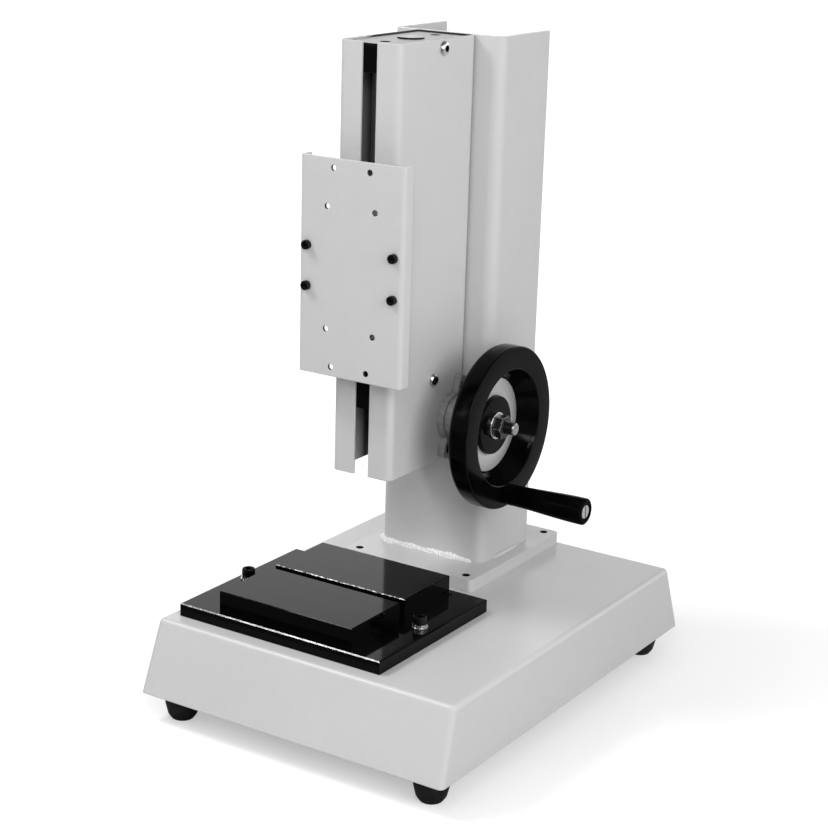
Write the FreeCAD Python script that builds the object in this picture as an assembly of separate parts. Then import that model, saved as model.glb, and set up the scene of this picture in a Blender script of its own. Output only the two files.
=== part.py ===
import FreeCAD, Part
import math
import os

# Hand-wheel test stand for a force gauge. Millimetres, +Z up, +X towards the hand wheel, -Y towards the user.
# The origin is on the table under the middle of the base. Everything on the column is modelled about the
# column's own middle plane (x = 0 there) and is moved to column_offset when it is written.

V = FreeCAD.Vector
AXIS_X = V(1, 0, 0)
AXIS_Y = V(0, 1, 0)
AXIS_Z = V(0, 0, 1)

# Base: a folded sheet box on four rubber feet
foot_height = 22.0
foot_radius = 13.0
foot_inset_x = 22.0
foot_inset_y = 22.0
base_top_width = 258.0
base_top_depth = 323.0
base_height = 54.0
base_side_spread = 3.0
base_end_spread = 18.0
base_sheet = 2.5
base_bend_radius = 4.0
base_lip_width = 36.0
stiffener_width = 184.0
stiffener_depth = 306.0
stiffener_back_y = 156.0
stiffener_thickness = 8.0

# Column: a bent channel, open at the back, welded to a foot plate
column_offset = -30.0
column_front_y = 54.0
column_width = 96.0
column_depth = 70.0
column_sheet = 4.0
column_bend_radius = 9.0
column_top_z = 496.0
foot_plate_width = 120.0
foot_plate_depth = 138.0
foot_plate_thickness = 10.0
foot_plate_front_y = 20.0
foot_plate_corner_radius = 4.0
column_bolt_spacing_x = 100.0
column_bolt_spacing_y = 122.0
column_bolt_recess = 5.0
weld_leg = 5.0
weld_end_gap = 6.0

# Screw housing: a lipped channel with a slot all the way down its front
housing_width = 52.0
housing_depth = 101.0
housing_sheet = 2.0
housing_bend_radius = 5.0
housing_bottom_z = 177.0
slot_width = 13.0
cap_plate_thickness = 1.5
cap_plate_drop = 1.2
cap_hole_radius = 10.0
cap_disc_rise = 1.1
cap_screw_spacing = 66.0
cap_thread_depth = 10.0
side_screw_y = 8.5
side_screw_drop = 6.5
lower_side_screw_z = 243.4
side_thread_depth = 9.0
side_clearance = 0.25

# Bearing blocks, guide rods and lead screw inside the housing
top_block_height = 19.0
lower_block_bottom_z = 228.0
lower_block_height = 34.0
cheek_thickness = 8.2
cheek_front_y = 20.0
cheek_back_gap = 3.6
cheek_bottom_z = 178.5
block_screw_x = 15.0
block_screw_reach = 15.0
guide_rod_radius = 6.0
guide_rod_y = -14.0
guide_rod_seat = 12.0
screw_radius = 8.0
screw_journal_radius = 6.0
screw_top_journal_radius = 5.0
bearing_width = 8.0
bearing_cover_flange = 3.0
lower_bearing_radius = 14.0
top_bearing_radius = 13.0
running_gap = 0.05
seat_gap = 0.02

# Hand wheel shaft and the pair of crossed helical gears
shaft_y = 35.0
shaft_z = 209.0
shaft_radius = 6.0
shaft_left_gap = 2.0
stud_length = 17.5
stud_radius = 5.0
gear_teeth = 14
gear_normal_module = 1.5
gear_helix_angle = 45.0
gear_pressure_angle = 20.0
gear_width = 16.0
gear_tooth_share = 0.42
bush_radius = 8.5
key_width = 4.0
key_length = 14.0

# Flange bearing on the side of the housing
flange_length = 65.0
flange_width = 38.0
flange_end_width = 13.0
flange_thickness = 6.0
flange_boss_radius = 17.0
flange_boss_height = 5.5
flange_tilt = 21.0
flange_bolt_spacing = 48.0
flange_bore_radius = 14.0
insert_bore_radius = 8.8
collar_radius = 8.5
collar_gap = 0.5

# Hand wheel and its revolving handle
wheel_radius = 62.5
wheel_stand_off = 52.7
rim_width = 17.0
rim_inner_radius = 45.0
rim_back_radius = 5.0
rim_edge_radius = 1.2
dish_radius = 36.5
dish_depth = 16.2
web_thickness = 5.5
hub_disc_radius = 22.3
hub_disc_depth = 11.7
hub_length = 24.0
hub_radius = 13.0
ring_thickness = 1.2
washer_radius = 10.5
washer_thickness = 2.0
wheel_nut_across_flats = 16.0
wheel_nut_height = 7.0
handle_radius_from_axis = 52.0
handle_reach = 68.8
handle_root_radius = 8.2
handle_waist_radius = 7.9
handle_end_radius = 10.2
handle_gap = 0.4
spindle_radius = 4.0
spindle_head_radius = 5.6
spindle_head_height = 3.5

# Carriage: slider, nut, bracket and the plate that carries the gauge
carriage_z = 335.0
slider_side_gap = 1.5
slider_front_y = -26.0
slider_back_y = 22.0
slider_height = 60.0
bush_wall = 2.0
bush_length = 18.0
nut_radius = 11.0
nut_flange_radius = 18.5
nut_flange_clearance = 1.0
nut_flange_thickness = 6.0
nut_screw_radius_from_axis = 13.6
nut_thread_depth = 12.0
bracket_width = 82.0
bracket_height = 48.0
bracket_thickness = 15.0
bracket_neck_width = 11.8
bracket_neck_height = 44.0
bracket_screw_spacing = 28.0
bracket_thread_depth = 14.0
plate_width = 90.0
plate_height = 160.0
plate_sheet = 2.0
plate_flange = 11.5
plate_bend_radius = 3.5
plate_front_y = -66.0
plate_screw_spacing_x = 75.0
plate_screw_spacing_z = 30.0
narrow_hole_spacing_x = 31.0
narrow_hole_spacing_z = 146.0
wide_hole_spacing_x = 41.0
wide_hole_spacing_z = 90.0
gauge_hole_radius = 2.2
plate_thread_depth = 12.0

# Bed plate with its two anvil blocks
bed_width = 178.0
bed_depth = 144.0
bed_thickness = 10.0
bed_front_y = -149.0
bed_edge_bevel = 0.8
bed_screw_x = 78.0
bed_screw_y = -81.0
bed_small_hole_x = 61.5
bed_small_hole_front_inset = 38.0
bed_small_hole_back_inset = 9.0
bed_small_hole_radius = 1.65
block_width = 118.0
block_depth = 61.0
block_height = 14.0
block_front_inset = 9.0
block_gap = 7.0
block_edge_bevel = 0.6
block_screw_inset_x = 14.0
block_screw_inset_y = 15.0
block_thread_depth = 10.0

# Screw sizes: head radius, head height, socket across flats, thread radius
M4_CAP = (3.5, 4.0, 3.0, 2.0)
M5_CAP = (4.25, 5.0, 4.0, 2.5)
M6_CAP = (5.0, 6.0, 5.0, 3.0)
M6_BUTTON_HEAD_RADIUS = 5.25
M6_BUTTON_HEAD_HEIGHT = 3.3
M6_BUTTON_SOCKET = 4.0
M6_HEX_ACROSS_FLATS = 10.0
M6_HEX_HEIGHT = 4.0
M5_NUT_ACROSS_FLATS = 8.0
M5_NUT_HEIGHT = 4.0
M10_NUT_ACROSS_FLATS = 17.0
M10_NUT_HEIGHT = 5.0
M6_WASHER_RADIUS = 6.0
M6_WASHER_THICKNESS = 1.6
hole_clearance = 0.3
counterbore_extra_depth = 0.5
thread_gap = 0.02

# Heights and faces that follow from the sizes above
base_top_z = foot_height + base_height
stiffener_top_z = base_top_z - base_sheet
stiffener_bottom_z = stiffener_top_z - stiffener_thickness
foot_plate_top_z = base_top_z + foot_plate_thickness
bed_top_z = base_top_z + bed_thickness
block_top_z = bed_top_z + block_height
housing_front_y = column_front_y - housing_depth
inner_half_width = housing_width / 2 - housing_sheet
inner_front_y = housing_front_y + housing_sheet
inner_back_y = column_front_y - housing_sheet
cap_plate_top_z = column_top_z - cap_plate_drop
top_block_top_z = cap_plate_top_z - cap_plate_thickness
top_block_bottom_z = top_block_top_z - top_block_height
lower_block_top_z = lower_block_bottom_z + lower_block_height
top_screw_z = top_block_bottom_z + top_block_height / 2
lower_screw_z = lower_block_bottom_z + lower_block_height / 2
side_screw_heights = (column_top_z - side_screw_drop, lower_side_screw_z)
wheel_face_x = housing_width / 2 + wheel_stand_off
web_front_x = wheel_face_x - dish_depth
hub_face_x = wheel_face_x - hub_disc_depth
hub_back_x = hub_face_x - hub_length
collar_end_x = hub_back_x - collar_gap
shaft_left_x = -inner_half_width + shaft_left_gap
shaft_end_x = hub_face_x + stud_length
handle_end_x = wheel_face_x + handle_reach
slider_width = 2 * (inner_half_width - slider_side_gap)
guide_rod_x = (slider_width / 2 + M5_CAP[3]) / 2
gear_pitch_radius = gear_normal_module * gear_teeth / math.cos(math.radians(gear_helix_angle)) / 2
screw_y = shaft_y - 2 * gear_pitch_radius
slider_bottom_z = carriage_z - slider_height / 2
slider_top_z = carriage_z + slider_height / 2
bracket_front_y = plate_front_y + plate_sheet
bracket_back_y = bracket_front_y + bracket_thickness
handle_z = shaft_z - handle_radius_from_axis
rear_block_front_y = bed_front_y + block_front_inset + block_depth + block_gap


# Shapes that many pieces share

def block(x0, x1, y0, y1, z0, z1):
    """A box between two values on each axis."""
    return Part.makeBox(x1 - x0, y1 - y0, z1 - z0, V(x0, y0, z0))


def rod(start, direction, length, radius):
    """A cylinder from a start point along a direction."""
    return Part.makeCylinder(radius, length, V(*start), direction)


def ring(start, direction, length, radius, bore):
    """A cylinder with a bore through it."""
    return rod(start, direction, length, radius).cut(rod(start, direction, length, bore))


def outline(points):
    """A closed wire in the XY plane. A point with a third entry is the middle of an arc to the next point."""
    edges = []
    closed = points + [points[0]]
    index = 0
    while index < len(closed) - 1:
        start = V(closed[index][0], closed[index][1], 0)
        following = closed[index + 1]
        if len(following) == 3:
            middle = V(following[0], following[1], 0)
            end = V(closed[index + 2][0], closed[index + 2][1], 0)
            edges.append(Part.Arc(start, middle, end).toShape())
            index += 2
        else:
            edges.append(Part.makeLine(start, V(following[0], following[1], 0)))
            index += 1
    return Part.Wire(edges)


def prism(points, z0, z1):
    """An outline carried up from z0 to z1."""
    solid = Part.Face(outline(points)).extrude(V(0, 0, z1 - z0))
    solid.translate(V(0, 0, z0))
    return solid


def turned(points, centre, direction):
    """A profile of (distance along the axis, radius) points, turned about the axis through centre."""
    swapped = [(point[1], point[0]) + tuple(point[2:]) for point in points]
    face = Part.Face(outline(swapped))
    face.rotate(V(0, 0, 0), AXIS_X, 90)
    return placed(face.revolve(V(0, 0, 0), AXIS_Z, 360), centre, direction)


def placed(shape, position, direction):
    """A shape that was made along +Z, moved to a position and pointed along a direction."""
    copy = shape.copy()
    turn = FreeCAD.Placement(V(*position), FreeCAD.Rotation(AXIS_Z, direction))
    copy.Placement = turn.multiply(copy.Placement)
    return copy


def hexagon(across_flats, z0, z1):
    """A six-sided prism about Z."""
    corner = across_flats / math.sqrt(3)
    points = []
    for side in range(6):
        angle = math.radians(60 * side + 30)
        points.append((corner * math.cos(angle), corner * math.sin(angle)))
    return prism(points, z0, z1)


def cap_screw(size, length):
    """A socket head screw: head above z = 0, thread below it."""
    head_radius, head_height, socket, thread_radius = size
    head = rod((0, 0, 0), AXIS_Z, head_height, head_radius)
    thread = rod((0, 0, -length), AXIS_Z, length, thread_radius - thread_gap)
    return head.fuse(thread).cut(hexagon(socket, head_height / 2, head_height + 1)).removeSplitter()


def button_screw(length):
    """A domed socket screw: head above z = 0, thread below it."""
    radius = M6_BUTTON_HEAD_RADIUS
    height = M6_BUTTON_HEAD_HEIGHT
    head = turned([(0, 0), (0, radius), (height * 0.68, radius * 0.76), (height, radius * 0.45),
                   (height, 0)], (0, 0, 0), AXIS_Z)
    thread = rod((0, 0, -length), AXIS_Z, length, M6_CAP[3] - thread_gap)
    return head.fuse(thread).cut(hexagon(M6_BUTTON_SOCKET, height * 0.4, height + 1)).removeSplitter()


def countersunk_screw(thread_radius, length):
    """A flat head screw whose top lies at z = 0."""
    head_radius = 2 * thread_radius
    body = turned([(0, 0), (0, head_radius), (-(head_radius - thread_radius), thread_radius - thread_gap),
                   (-length, thread_radius - thread_gap), (-length, 0)], (0, 0, 0), AXIS_Z)
    return body.cut(hexagon(thread_radius * 1.25, -thread_radius * 0.9, 1))


def hex_bolt(across_flats, height, thread_radius, length):
    """A hexagon head bolt: head below z = 0, thread above it."""
    return hexagon(across_flats, -height, 0).fuse(rod((0, 0, 0), AXIS_Z, length, thread_radius - thread_gap))


def hex_nut(across_flats, height, bore):
    """A hexagon nut that stands on z = 0, with its outer corners turned off."""
    corner = across_flats / math.sqrt(3)
    drop = (corner - across_flats / 2) * 0.6
    turned_blank = turned([(0, 0), (0, corner - drop), (drop, corner), (height - drop, corner),
                           (height, corner - drop), (height, 0)], (0, 0, 0), AXIS_Z)
    return hexagon(across_flats, 0, height).common(turned_blank).cut(rod((0, 0, -1), AXIS_Z, height + 2, bore))


def group(shape, positions, direction):
    """Separate copies of one fastener at several positions."""
    return Part.makeCompound([placed(shape, position, direction) for position in positions])


def corners(x, y_values, z):
    """The mirrored pairs of points at plus and minus x."""
    return [(side * x, y, z) for y in y_values for side in (-1, 1)]


def vertical_edges(shape):
    """The straight edges of a shape that run along Z."""
    return [edge for edge in shape.Edges
            if len(edge.Vertexes) == 2 and abs(edge.tangentAt(edge.FirstParameter).z) > 0.999]


def edges_at_height(shape, z):
    """The edges of a shape that lie in one level plane."""
    return [edge for edge in shape.Edges
            if abs(edge.BoundBox.ZMin - z) < 1e-4 and abs(edge.BoundBox.ZMax - z) < 1e-4]


def bent_channel(width, depth, sheet, radius, z0, z1):
    """A U of bent sheet: web on y = 0 across X, two flanges running back to y = depth."""
    half = width / 2
    inner = radius - sheet
    bend = math.sqrt(0.5)
    outer_left = (-half + radius * (1 - bend), radius * (1 - bend), "arc")
    outer_right = (half - radius * (1 - bend), radius * (1 - bend), "arc")
    inner_right = (half - sheet - inner * (1 - bend), sheet + inner * (1 - bend), "arc")
    inner_left = (-half + sheet + inner * (1 - bend), sheet + inner * (1 - bend), "arc")
    points = [(-half, depth), (-half, radius), outer_left, (-half + radius, 0), (half - radius, 0),
              outer_right, (half, radius), (half, depth), (half - sheet, depth), (half - sheet, radius),
              inner_right, (half - radius, sheet), (-half + radius, sheet), inner_left,
              (-half + sheet, radius), (-half + sheet, depth)]
    return prism(points, z0, z1)


# Base

def base_body(z0, z1, wall, radius):
    """The tapered box between two heights, with its walls moved in by the given thickness."""
    half_x = []
    half_y = []
    for z in (z0, z1):
        share = (base_top_z - z) / base_height
        half_x.append(base_top_width / 2 + base_side_spread * share - wall)
        half_y.append(base_top_depth / 2 + base_end_spread * share - wall)
    body = Part.makeWedge(-half_x[0], z0, -half_y[0], -half_y[1], -half_x[1],
                          half_x[0], z1, half_y[0], half_y[1], half_x[1])
    body.rotate(V(0, 0, 0), AXIS_X, 90)
    rounded = [edge for edge in body.Edges if edge.BoundBox.ZMax > z1 - 0.01]
    return body.makeFillet(radius, rounded)


def foot_positions(z):
    x = base_top_width / 2 + base_side_spread - foot_inset_x
    y = base_top_depth / 2 + base_end_spread - foot_inset_y
    return [(-x, -y, z), (x, -y, z), (-x, y, z), (x, y, z)]


def column_bolt_positions(z):
    middle = foot_plate_front_y + foot_plate_depth / 2
    half = column_bolt_spacing_y / 2
    return corners(column_bolt_spacing_x / 2, (middle - half, middle + half), z)


def bed_screw_positions(z):
    return corners(bed_screw_x, (bed_screw_y,), z)


def base_shell():
    """Folded sheet box: sloped ends, soft bends, and a return lip underneath that carries the feet."""
    shell = base_body(foot_height, base_top_z, 0, base_bend_radius)
    inside = base_body(foot_height + base_sheet, base_top_z - base_sheet, base_sheet,
                       base_bend_radius - base_sheet)
    shell = shell.cut(inside)
    x = base_top_width / 2 + base_side_spread - base_lip_width
    y = base_top_depth / 2 + base_end_spread - base_lip_width
    shell = shell.cut(block(-x, x, -y, y, foot_height - 1, foot_height + base_sheet + 1))
    for position in foot_positions(foot_height - 1):
        shell = shell.cut(rod(position, AXIS_Z, base_sheet + 2, M5_CAP[3] + hole_clearance))
    for position in column_bolt_positions(stiffener_top_z - 1) + bed_screw_positions(stiffener_top_z - 1):
        moved = (position[0] + column_offset, position[1], position[2])
        shell = shell.cut(rod(moved, AXIS_Z, base_sheet + 2, M6_CAP[3] + hole_clearance))
    return shell


def base_stiffener():
    """Thick plate under the top sheet that takes the column bolts and the bed screws."""
    half = stiffener_width / 2
    plate = block(-half, half, stiffener_back_y - stiffener_depth, stiffener_back_y, stiffener_bottom_z,
                  stiffener_top_z)
    for position in column_bolt_positions(stiffener_bottom_z - 1):
        plate = plate.cut(rod(position, AXIS_Z, stiffener_thickness + 2, M6_CAP[3] + hole_clearance))
    for position in bed_screw_positions(stiffener_bottom_z - 1):
        plate = plate.cut(rod(position, AXIS_Z, stiffener_thickness + 2, M6_CAP[3]))
    return plate


def rubber_foot():
    """Domed rubber foot with a recess for its screw head."""
    flat = foot_radius * 0.62
    shoulder = foot_height * 0.55
    foot = turned([(0, 0), (0, flat), (shoulder * 0.32, foot_radius * 0.9), (shoulder, foot_radius),
                   (foot_height, foot_radius), (foot_height, 0)], (0, 0, 0), AXIS_Z)
    foot = foot.cut(rod((0, 0, -1), AXIS_Z, foot_height + 2, M5_CAP[3] + hole_clearance))
    return foot.cut(rod((0, 0, -1), AXIS_Z, foot_height * 0.4 + 1, M5_CAP[0] + 2 * hole_clearance))


def foot_screws():
    head_seat = foot_height * 0.4
    length = foot_height - head_seat + base_sheet + M5_NUT_HEIGHT + 1
    return group(cap_screw(M5_CAP, length), foot_positions(head_seat), V(0, 0, -1))


def foot_nuts():
    nut = hex_nut(M5_NUT_ACROSS_FLATS, M5_NUT_HEIGHT, M5_CAP[3])
    return group(nut, foot_positions(foot_height + base_sheet), AXIS_Z)


# Column

def column_channel():
    """Bent channel with clearance holes for the screws that hold the two bearing blocks."""
    channel = bent_channel(column_width, column_depth, column_sheet, column_bend_radius,
                           foot_plate_top_z, column_top_z)
    channel.translate(V(0, column_front_y, 0))
    for z in (top_screw_z, lower_screw_z):
        for position in corners(block_screw_x, (column_front_y - 1,), z):
            channel = channel.cut(rod(position, AXIS_Y, column_sheet + 2, M6_CAP[3] + hole_clearance))
    return channel


def column_foot_plate():
    """Foot plate with four tapped holes; the bolts come up from under the base."""
    half = foot_plate_width / 2
    back = foot_plate_front_y + foot_plate_depth
    plate = block(-half, half, foot_plate_front_y, back, base_top_z, foot_plate_top_z)
    plate = plate.makeFillet(foot_plate_corner_radius, vertical_edges(plate))
    for position in column_bolt_positions(base_top_z - 1):
        plate = plate.cut(rod(position, AXIS_Z, foot_plate_thickness + 2, M6_CAP[3]))
    return plate


def weld_bead(length):
    """A convex fillet weld along +X from x = 0, in the corner between y = 0 (wall) and z = 0 (plate)."""
    bulge = weld_leg * 0.62
    section = outline([(0, 0), (0, weld_leg), (-bulge, bulge, "arc"), (-weld_leg, 0)])
    bead = Part.Face(section).extrude(V(0, 0, length))
    bead.rotate(V(0, 0, 0), V(1, 1, 1), 120)
    return bead


def column_weld_beads():
    """Weld runs along the front of the web and along both flanges."""
    front_length = column_width - column_bend_radius
    side_length = column_depth - column_bend_radius - weld_end_gap
    front = weld_bead(front_length)
    front.translate(V(-front_length / 2, column_front_y, foot_plate_top_z))
    right = weld_bead(side_length)
    right.rotate(V(0, 0, 0), AXIS_Z, 90)
    right.translate(V(column_width / 2, column_front_y + column_bend_radius, foot_plate_top_z))
    left = right.mirror(V(0, 0, 0), AXIS_X)
    return Part.makeCompound([front, right, left])


def column_bolts():
    length = foot_plate_top_z - column_bolt_recess - stiffener_bottom_z
    bolt = hex_bolt(M6_HEX_ACROSS_FLATS, M6_HEX_HEIGHT, M6_CAP[3], length)
    return group(bolt, column_bolt_positions(stiffener_bottom_z), AXIS_Z)


# Screw housing

def housing_channel():
    """Lipped channel: back, two sides and two front lips that leave the slot open over the full height."""
    half = housing_width / 2
    radius = housing_bend_radius
    height = column_top_z - housing_bottom_z
    outer = block(-half, half, housing_front_y, column_front_y, housing_bottom_z, column_top_z)
    outer = outer.makeFillet(radius, vertical_edges(outer))
    inner = block(-inner_half_width, inner_half_width, inner_front_y, inner_back_y,
                  housing_bottom_z - 1, column_top_z + 1)
    inner = inner.makeFillet(radius - housing_sheet, vertical_edges(inner))
    shell = outer.cut(inner)
    slot = slot_width / 2
    shell = shell.cut(block(-slot, slot, housing_front_y - 1, inner_front_y + 1,
                            housing_bottom_z - 1, housing_bottom_z + height + 1))
    for z in (top_screw_z, lower_screw_z):
        for position in corners(block_screw_x, (inner_back_y - 1,), z):
            shell = shell.cut(rod(position, AXIS_Y, housing_sheet + 2, M6_CAP[3] + hole_clearance))
    for z in side_screw_heights:
        shell = shell.cut(rod((-half - 1, side_screw_y, z), AXIS_X, housing_width + 2,
                              M6_CAP[3] + hole_clearance))
    shell = shell.cut(rod((inner_half_width - 1, shaft_y, shaft_z), AXIS_X, housing_sheet + 2,
                          flange_bore_radius))
    for position in flange_bolt_positions(inner_half_width - 1):
        shell = shell.cut(rod(position, AXIS_X, housing_sheet + 2, M6_CAP[3] + hole_clearance))
    return shell


def housing_screws():
    screw = button_screw(housing_sheet + side_thread_depth - 1)
    screws = []
    for z in side_screw_heights:
        screws.append(placed(screw, (housing_width / 2, side_screw_y, z), AXIS_X))
        screws.append(placed(screw, (-housing_width / 2, side_screw_y, z), V(-1, 0, 0)))
    return Part.makeCompound(screws)


def cap_screw_positions(z):
    return [(0, screw_y - cap_screw_spacing / 2, z), (0, screw_y + cap_screw_spacing / 2, z)]


def cap_countersinks():
    """Conical seats for the flat screw heads, which reach through the plate into the block."""
    head = 2 * M4_CAP[3]
    cone = turned([(0, 0), (0, head), (-head, 0)], (0, 0, 0), AXIS_Z)
    return group(cone, cap_screw_positions(cap_plate_top_z), AXIS_Z)


def top_cap_plate():
    half = inner_half_width - side_clearance
    plate = block(-half, half, inner_front_y + side_clearance, inner_back_y, top_block_top_z, cap_plate_top_z)
    plate = plate.makeFillet(housing_bend_radius - housing_sheet, vertical_edges(plate))
    plate = plate.cut(rod((0, screw_y, top_block_top_z - 1), AXIS_Z, cap_plate_thickness + 2, cap_hole_radius))
    for position in cap_screw_positions(top_block_top_z - 1):
        plate = plate.cut(rod(position, AXIS_Z, cap_plate_thickness + 2, M4_CAP[3] + hole_clearance))
    return plate.cut(cap_countersinks())


def cap_plate_screws():
    screw = countersunk_screw(M4_CAP[3] - thread_gap, cap_plate_thickness + cap_thread_depth - 1)
    return group(screw, cap_screw_positions(cap_plate_top_z), AXIS_Z)


def bearing_block_blank(z0, z1, side_screw_z):
    """A block that fills the housing's inner section, with holes for the housing and column screws."""
    half = inner_half_width - side_clearance
    body = block(-half, half, inner_front_y + side_clearance, inner_back_y, z0, z1)
    body = body.makeFillet(housing_bend_radius - housing_sheet, vertical_edges(body))
    middle = (z0 + z1) / 2
    for position in corners(block_screw_x, (inner_back_y - block_screw_reach - 1,), middle):
        body = body.cut(rod(position, AXIS_Y, block_screw_reach + 2, M6_CAP[3]))
    for side in (-1, 1):
        body = body.cut(rod((side * (half + 1), side_screw_y, side_screw_z), V(-side, 0, 0),
                            side_thread_depth + 1, M6_CAP[3]))
    return body


def top_bearing_block():
    body = bearing_block_blank(top_block_bottom_z, top_block_top_z, side_screw_heights[0])
    seat_z = top_block_top_z - bearing_width - bearing_cover_flange
    body = body.cut(rod((0, screw_y, top_block_bottom_z - 1), AXIS_Z, top_block_height + 2,
                        screw_radius + 1))
    body = body.cut(rod((0, screw_y, seat_z), AXIS_Z, bearing_width + bearing_cover_flange + 1,
                        top_bearing_radius + seat_gap))
    for side in (-1, 1):
        body = body.cut(rod((side * guide_rod_x, guide_rod_y, top_block_bottom_z - 1), AXIS_Z,
                            guide_rod_seat + 1, guide_rod_radius + seat_gap))
    for position in cap_screw_positions(top_block_top_z - cap_thread_depth):
        body = body.cut(rod(position, AXIS_Z, cap_thread_depth + 1, M4_CAP[3]))
    return body.cut(cap_countersinks())


def lower_bearing_block():
    """Lower block with two cheeks hanging down behind the gears: they carry the hand wheel's shaft."""
    body = bearing_block_blank(lower_block_bottom_z, lower_block_top_z, side_screw_heights[1])
    half = inner_half_width - side_clearance
    for side in (-1, 1):
        x0, x1 = sorted((side * half, side * (half - cheek_thickness)))
        cheek = block(x0, x1, cheek_front_y, inner_back_y - cheek_back_gap, cheek_bottom_z,
                      lower_block_bottom_z)
        body = body.fuse(cheek)
        body = body.cut(rod((side * guide_rod_x, guide_rod_y, lower_block_top_z - guide_rod_seat), AXIS_Z,
                            guide_rod_seat + 1, guide_rod_radius + seat_gap))
    body = body.cut(rod((-half - 1, shaft_y, shaft_z), AXIS_X, cheek_thickness + 2, bush_radius + seat_gap))
    body = body.cut(rod((half - cheek_thickness - 1, shaft_y, shaft_z), AXIS_X, cheek_thickness + 2,
                        bush_radius + 1))
    for position in flange_bolt_positions(half - cheek_thickness - 1):
        body = body.cut(rod(position, AXIS_X, cheek_thickness + 2, M6_CAP[3]))
    body = body.cut(rod((0, screw_y, lower_block_bottom_z - 1), AXIS_Z, lower_block_height + 2,
                        screw_radius + 1))
    for z in (lower_block_bottom_z, lower_block_top_z - bearing_width):
        body = body.cut(rod((0, screw_y, z - (1 if z == lower_block_bottom_z else 0)), AXIS_Z,
                            bearing_width + 1, lower_bearing_radius + seat_gap))
    return body


def ball_bearing(bore, radius):
    """A shielded ball bearing, bore up: two rings with a sunk shield between them."""
    land = (radius - bore) * 0.28
    sink = 0.7
    return turned([(0, bore), (0, bore + land), (sink, bore + land), (sink, radius - land), (0, radius - land),
                   (0, radius), (bearing_width, radius), (bearing_width, radius - land),
                   (bearing_width - sink, radius - land), (bearing_width - sink, bore + land),
                   (bearing_width, bore + land), (bearing_width, bore)], (0, 0, 0), AXIS_Z)


def top_ball_bearing():
    bearing = ball_bearing(screw_top_journal_radius + running_gap, top_bearing_radius)
    return placed(bearing, (0, screw_y, top_block_top_z - bearing_width - bearing_cover_flange), AXIS_Z)


def lower_ball_bearings():
    bearing = ball_bearing(screw_journal_radius + running_gap, lower_bearing_radius)
    return group(bearing, [(0, screw_y, lower_block_bottom_z), (0, screw_y, lower_block_top_z - bearing_width)],
                 AXIS_Z)


def bearing_cover_disc():
    """Stepped disc that closes the bearing seat and shows as the round cap in the top plate."""
    step = top_block_top_z
    bottom = step - bearing_cover_flange
    edge = 0.3
    top = cap_plate_top_z + cap_disc_rise
    disc_radius = cap_hole_radius - side_clearance
    return turned([(bottom, 0), (bottom, top_bearing_radius), (step, top_bearing_radius),
                   (step, disc_radius), (top - edge, disc_radius), (top, disc_radius - edge), (top, 0)],
                  (0, screw_y, 0), AXIS_Z)


def guide_rod(side):
    start = lower_block_top_z - guide_rod_seat
    length = top_block_bottom_z + guide_rod_seat - start
    body = rod((side * guide_rod_x, guide_rod_y, start), AXIS_Z, length, guide_rod_radius)
    return body.makeChamfer(0.8, edges_at_height(body, start) + edges_at_height(body, start + length))


def block_mounting_screws():
    face = column_front_y + column_sheet
    length = face - inner_back_y + block_screw_reach - 1
    positions = []
    for z in (top_screw_z, lower_screw_z):
        positions += corners(block_screw_x, (face,), z)
    return group(cap_screw(M6_CAP, length), positions, AXIS_Y)


# Lead screw

def lead_screw():
    """Screw spindle: plain thread diameter, a stepped journal at each end."""
    top = top_block_top_z - bearing_cover_flange - 0.5
    bottom = shaft_z - gear_width / 2 - M10_NUT_HEIGHT - 2
    thread_top = top_block_bottom_z + 2
    thread_bottom = lower_block_top_z + 0.5
    edge = 0.6
    return turned([(bottom, 0), (bottom, screw_journal_radius - edge), (bottom + edge, screw_journal_radius),
                   (thread_bottom, screw_journal_radius), (thread_bottom, screw_radius),
                   (thread_top, screw_radius), (thread_top, screw_top_journal_radius),
                   (top - edge, screw_top_journal_radius), (top, screw_top_journal_radius - edge), (top, 0)],
                  (0, screw_y, 0), AXIS_Z)


def gear_outline(turn):
    """One transverse section of the gear, turned by an angle: involute flanks, six points to each tooth."""
    helix = math.radians(gear_helix_angle)
    pressure = math.atan(math.tan(math.radians(gear_pressure_angle)) / math.cos(helix))
    base = gear_pitch_radius * math.cos(pressure)
    tip = gear_pitch_radius + gear_normal_module
    root = gear_pitch_radius - 1.25 * gear_normal_module
    half_pitch_angle = math.pi * gear_tooth_share / gear_teeth
    flank = []
    for radius in (root, gear_pitch_radius, tip):
        lean = math.acos(min(1.0, base / radius))
        flank.append((radius, half_pitch_angle + math.tan(pressure) - pressure - math.tan(lean) + lean))
    points = []
    for tooth in range(gear_teeth):
        middle = turn + 2 * math.pi * tooth / gear_teeth
        for radius, angle in flank:
            points.append((radius * math.cos(middle - angle), radius * math.sin(middle - angle)))
        for radius, angle in reversed(flank):
            points.append((radius * math.cos(middle + angle), radius * math.sin(middle + angle)))
    return outline(points)


def helical_gear(phase, bore):
    """Right-handed helical gear about Z, mid-plane at z = 0: the section turns as it is swept up the axis."""
    lead = 2 * math.pi * gear_pitch_radius / math.tan(math.radians(gear_helix_angle))
    spine = Part.Wire([Part.makeLine(V(0, 0, 0), V(0, 0, gear_width))])
    guide = Part.Wire(Part.makeHelix(lead, gear_width, gear_pitch_radius).Edges)
    sweep = Part.BRepOffsetAPI.MakePipeShell(spine)
    sweep.setAuxiliarySpine(guide, True, False)
    sweep.add(gear_outline(phase - math.pi * gear_width / lead))
    sweep.build()
    sweep.makeSolid()
    gear = sweep.shape()
    gear.translate(V(0, 0, -gear_width / 2))
    return gear.cut(rod((0, 0, -gear_width), AXIS_Z, 2 * gear_width, bore))


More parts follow.
